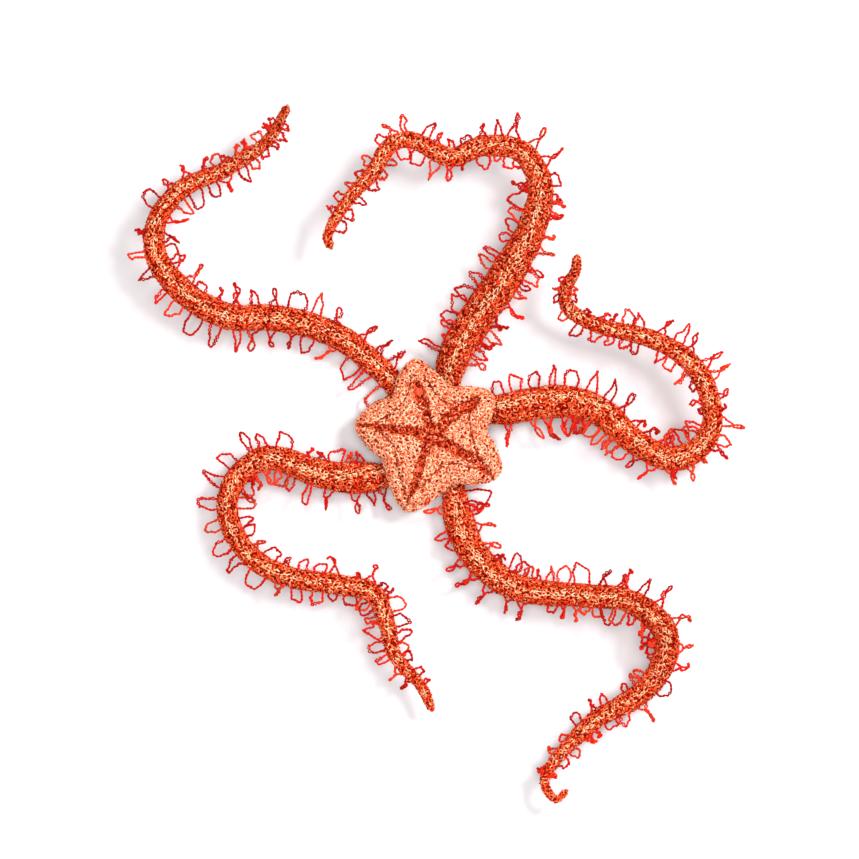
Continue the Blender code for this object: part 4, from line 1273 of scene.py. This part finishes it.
def on_disc(x, y):
    """The height of the disc's skin under points seen from above."""
    bearings = np.degrees(np.arctan2(y, x)) % 360
    return disc_heights(bearings, np.hypot(x, y) / outline_reach(bearings), np.ones(x.shape, dtype=bool))


print("top of the middle at", round(float(on_disc(np.zeros(1), np.zeros(1))[0]), 1), "mm")

# %% [markdown]
# The rings lie close together at the edge, where the cushion turns over, which a sine gives. The
# same tube as for the arms is used, because spinning a profile gives the faces another order each
# time, and the stitches are drawn face by face. The skin under the stitches is dyed darker in the
# sunken star than on the pads.

# %% The disc's skin
DISC_AROUND = 300
TOP_RINGS = 52
UNDER_RINGS = 22
LAST_RING = TOP_RINGS + UNDER_RINGS
EDGE_TUCK = 8
CREASE_SHADE_WIDTH = 0.25

disc_builder = straight_tube(DISC_AROUND, LAST_RING - 1)
close_end(disc_builder, 0)
close_end(disc_builder, 1)
straight = vertex_array(disc_builder)
rings = np.round((1 - straight[:, 2]) * LAST_RING)
on_top = rings <= TOP_RINGS
quarter = np.where(on_top, rings / TOP_RINGS, (LAST_RING - rings) / UNDER_RINGS) * math.pi / 2
shares = np.sin(quarter)
bearings = np.degrees(np.arctan2(straight[:, 1], straight[:, 0])) % 360
reach = outline_reach(bearings) * shares - STITCH_DEPTH * shares**EDGE_TUCK
x, y = reach * np.cos(np.radians(bearings)), reach * np.sin(np.radians(bearings))
move_vertices(disc_builder, np.stack([x, y, disc_heights(bearings, shares, on_top)], axis=-1))
face_outwards(disc_builder)
disc_skin = object_from(disc_builder, "disc_skin", FELT)
pads_and_star = mixed(linear(UNDER_PADS), linear(UNDER_STAR), ray_share(x, y) * on_top)
# Painted shade: the skin is coloured dark along each crease, as the shade in the fold
crease_shade = bell(off_crease(x, y), CREASE_SHADE_WIDTH) * on_top
colour_vertices(disc_skin.data, mixed(pads_and_star, linear(CREASE_PAINTED_SHADE), crease_shade))
DISC_NODES = [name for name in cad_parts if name.startswith("disc_pad_")]
settle(disc_skin, "peach_thread", *DISC_NODES, "disc_star")

# %% [markdown]
# The disc's stitches are the same curls as the arms', in cream, peach and salmon on the pads and in
# reds in the sunken star. Points are drawn on the skin's triangles, more on larger ones, and the
# ones that lie too close are dropped, so the holes are even on every side.

# %% The disc's stitches
DISC_HOLE_SPACING = 0.79
CREASE_BARE = 0.16
STAR_OVERLAP = 0.2
# Stitches of both kinds start so far over the star's edge, and are then kept on their own side
STAR_MARGIN = 0.4
PADS_PEACH = 0.97
STAR_PEACH = 0.05
# On steep places fewer cream stitches and more orange-red ones: partly the edge's own salmon thread, partly
# painted shade on the slopes
STEEP_SALMON_PAINTED_SHADE = 0.35
# Painted shade and painted red bounce light: on steep places, the thread is coloured as if lit only by the
# red thread beside it
STEEP_PAINTED_SHADE = (0.0, 0.25, 0.4, 0.0)
# The bake's map: how far the disc reaches, and what part of the map's sides that is
MAP_REACH = 20.0
MAP_HALVES = (0.22, 0.44)


def rows_of(items, name, width, kind=np.float64):
    """One property of all of a mesh's items, a row for each."""
    values = np.empty(len(items) * width, dtype=kind)
    items.foreach_get(name, values)
    return values.reshape(-1, width)


def holes_on(skin, draw):
    """Places for holes, spread over a skin, in millimetres, with the directions out of it."""
    mesh = skin.data
    mesh.calc_loop_triangles()
    corners = rows_of(mesh.loop_triangles, "vertices", 3, np.int32)
    points = rows_of(mesh.vertices, "co", 3)[corners] / MM
    normals = rows_of(mesh.vertex_normals, "vector", 3)[corners]
    areas = np.linalg.norm(np.cross(points[:, 1] - points[:, 0], points[:, 2] - points[:, 0]), axis=1) / 2
    tries = round(areas.sum() * TRIES_PER_SQUARE_MM)
    chosen = draw.choice(len(areas), tries, p=areas / areas.sum())
    weights = draw.dirichlet((1.0, 1.0, 1.0), tries)[..., None]
    places = (points[chosen] * weights).sum(axis=1)
    picked = spread(places, DISC_HOLE_SPACING)
    return places[picked], unit((normals[chosen] * weights).sum(axis=1))[picked]


def disc_unwrap(places, facing):
    """The top on the left half of the bake's map, the underside on the right half."""
    x = 0.25 + MAP_HALVES[0] * places[:, 0] / MAP_REACH + 0.5 * (facing[:, 2] < 0)
    return np.stack([x, 0.5 + MAP_HALVES[1] * places[:, 1] / MAP_REACH], axis=-1)


def across_from(facing, draw):
    """Random directions that lie in the surface."""
    return unit(np.cross(facing, draw.normal(0.0, 1.0, facing.shape)))


def on_pads(places):
    """Whether stitches keep off the star and the creases, which only those on top have to."""
    x, y = places[:, 0], places[:, 1]
    below = places[:, 2] < on_disc(x, y) - THICKNESS_EDGE / 2
    return below | ((inward(RAYS, x, y) < 0.0) & (off_crease(x, y) > CREASE_BARE))


def in_star_only(places):
    """Whether stitches belong to the sunken star."""
    return inward(RAYS, places[:, 0], places[:, 1]) > -STAR_OVERLAP


draw = np.random.default_rng([SEED, 200])
all_places, all_facing = holes_on(disc_skin, draw)
into_ray = np.where(all_facing[:, 2] > 0, inward(RAYS, all_places[:, 0], all_places[:, 1]), -FAR_OUT)
KINDS = {
    "disc_pad_stitches": (DISC_NODES, into_ray < STAR_MARGIN, PADS_PEACH, PAD_HOLES, on_pads),
    "disc_star_stitches": (["disc_star"], into_ray > -STAR_MARGIN, STAR_PEACH, STAR_HOLES, in_star_only),
}
for name, (nodes, chosen, peach, hole_colours, keep) in KINDS.items():
    places, facing = all_places[chosen], all_facing[chosen]
    steep = 1 - np.abs(facing[:, 2])
    palettes = (PAD_COLOURS, STAR_COLOURS, hole_colours)
    # Partly painted shade: the steeper a place, the fewer cream stitches it gets
    colours = stitch_colours(peach * (1 - STEEP_SALMON_PAINTED_SHADE * steep), *palettes, DISC_SEWING[0], draw)
    # Painted shade: stitches on steep places are made darker and redder
    colours = colours * (1 - np.repeat(steep, DISC_SEWING[0] + 1)[:, None] * STEEP_PAINTED_SHADE)
    sewing = (across_from(facing, draw), colours, disc_unwrap(places, facing), draw, DISC_SEWING)
    sewn = stitches(name, disc_skin, places, facing, *sewing, keep=keep)
    settle(sewn, "red_thread" if nodes == ["disc_star"] else "peach_thread", *nodes)

# %% [markdown]
# Each crease is drawn down by a line of dark running stitches, a little over a millimetre long and
# end to end; their dark colour also paints the shade in the fold. On the ray to the top and on the ray
# to the bottom sits a small coral spot in satin stitch: threads side by side over a low dome.

# %% The creases' stitches
RUNNING_STITCH = 1.05
RUNNING_LENGTHS = (0.7, 1.25)
RUNNING_WIDTH = (0.2, 0.36)
RUNNING_ARCH = 0.12
CREASE_LIFT = 0.24
CREASE_WANDER = 0.06

draw = np.random.default_rng([SEED, 250])
middles, headings = [], []
for crease in CREASES:
    x, y = crease[:, 0], crease[:, 1]
    line = np.column_stack([x, y, on_disc(x, y) + CREASE_LIFT])
    line = evenly(line, max(3, round(run_lengths(line)[-1] / RUNNING_STITCH) + 1))
    middles.append((line[:-1] + line[1:]) / 2)
    headings.append(unit(np.diff(line, axis=0)))
middles, headings = np.vstack(middles), np.vstack(headings)
facing = unit(UP - headings * headings[:, 2:])
count = len(middles)
middles = middles + np.cross(facing, headings) * draw.normal(0.0, CREASE_WANDER, (count, 1))
lengths = RUNNING_STITCH * draw.uniform(*RUNNING_LENGTHS, count)
widths = draw.uniform(*RUNNING_WIDTH, count)
threads = (lengths, widths, drawn_colours(CREASE_THREAD_AND_SHADE_COLOURS, count, draw), disc_unwrap(middles, facing))
running = grains("disc_crease_stitches", middles, facing, headings, *threads, arch=RUNNING_ARCH)
settle(running, "red_thread", *DISC_NODES)

# %% The coral spots
# Each spot: its middle as a pixel of the photograph, half its width and half its height
SPOTS = ((419.5, 391.8, 1.15, 1.05), (420.0, 469.5, 1.05, 0.8))
SPOT_THREADS = 11
SPOT_THREAD_WIDTH = 0.3
SPOT_HEM = 0.2
SPOT_RAGGED = 0.12
SPOT_RISE = 0.75
SPOT_ARCH = 0.7

middles, lengths = [], []
for px, py, half_width, half_height in SPOTS:
    x, y = from_photo(px, py)
    offsets = np.linspace(-0.9, 0.9, SPOT_THREADS)
    kept = np.sqrt(1 - offsets**2)
    heights = on_disc(np.array([x]), np.array([y])) + SPOT_RISE * kept
    along = y + draw.uniform(-SPOT_RAGGED, SPOT_RAGGED, SPOT_THREADS)
    middles.append(np.column_stack([x + offsets * half_width, along, heights]))
    lengths.append(2 * half_height * kept + SPOT_HEM)
middles, lengths = np.vstack(middles), np.concatenate(lengths)
count = len(middles)
facing, headings = np.tile(UP, (count, 1)), np.tile((0.0, 1.0, 0.0), (count, 1))
widths = np.full(count, SPOT_THREAD_WIDTH)
threads = (lengths, widths, drawn_colours(SPOT_COLOURS, count, draw), disc_unwrap(middles, facing))
spots = grains("disc_coral_spots", middles, facing, headings, *threads, arch=SPOT_RISE * SPOT_ARCH)
settle(spots, "red_thread", "disc_star")

# %% [markdown]
# Under the disc sits a round pad that the arms start from, and the piece rests partly on it. It is
# a cylinder with rounded rims, covered with the same stitches.

# %% The pad underneath
UNDER_PAD_SIDES = 48
UNDER_PAD_ROUNDING = 1.0

pad_height = UNDERSIDE_MIDDLE - GAP - 2 * STITCH_DEPTH
pad_builder = bmesh.new()
radii = {"radius1": UNDER_PAD_RADIUS - STITCH_DEPTH, "radius2": UNDER_PAD_RADIUS - STITCH_DEPTH}
bmesh.ops.create_cone(pad_builder, cap_ends=True, segments=UNDER_PAD_SIDES, depth=pad_height, **radii)
bmesh.ops.translate(pad_builder, verts=pad_builder.verts, vec=(0, 0, pad_height / 2 + STITCH_DEPTH))
rims = [edge for edge in pad_builder.edges if abs(edge.verts[0].co.z - edge.verts[1].co.z) < 0.001]
rounding = {"affect": "EDGES", "segments": 4, "profile": 0.5, "material": -1}
bmesh.ops.bevel(pad_builder, geom=rims, offset=UNDER_PAD_ROUNDING, **rounding)
under_pad = object_from(pad_builder, "underside_pad_skin", FELT)
colour_vertices(under_pad.data, np.tile(linear(UNDER_PADS), (len(under_pad.data.vertices), 1)))
settle(under_pad, "peach_thread", "disc_underside")

draw = np.random.default_rng([SEED, 300])
places, facing = holes_on(under_pad, draw)
across = across_from(facing, draw)
palettes = (PAD_COLOURS, STAR_COLOURS, PAD_HOLES)
colours = stitch_colours(np.ones(len(places)), *palettes, DISC_SEWING[0], draw)
sewing = (across, colours, disc_unwrap(places, facing), draw, DISC_SEWING)
sewn = stitches("underside_pad_stitches", under_pad, places, facing, *sewing)
settle(sewn, "peach_thread", "disc_underside")
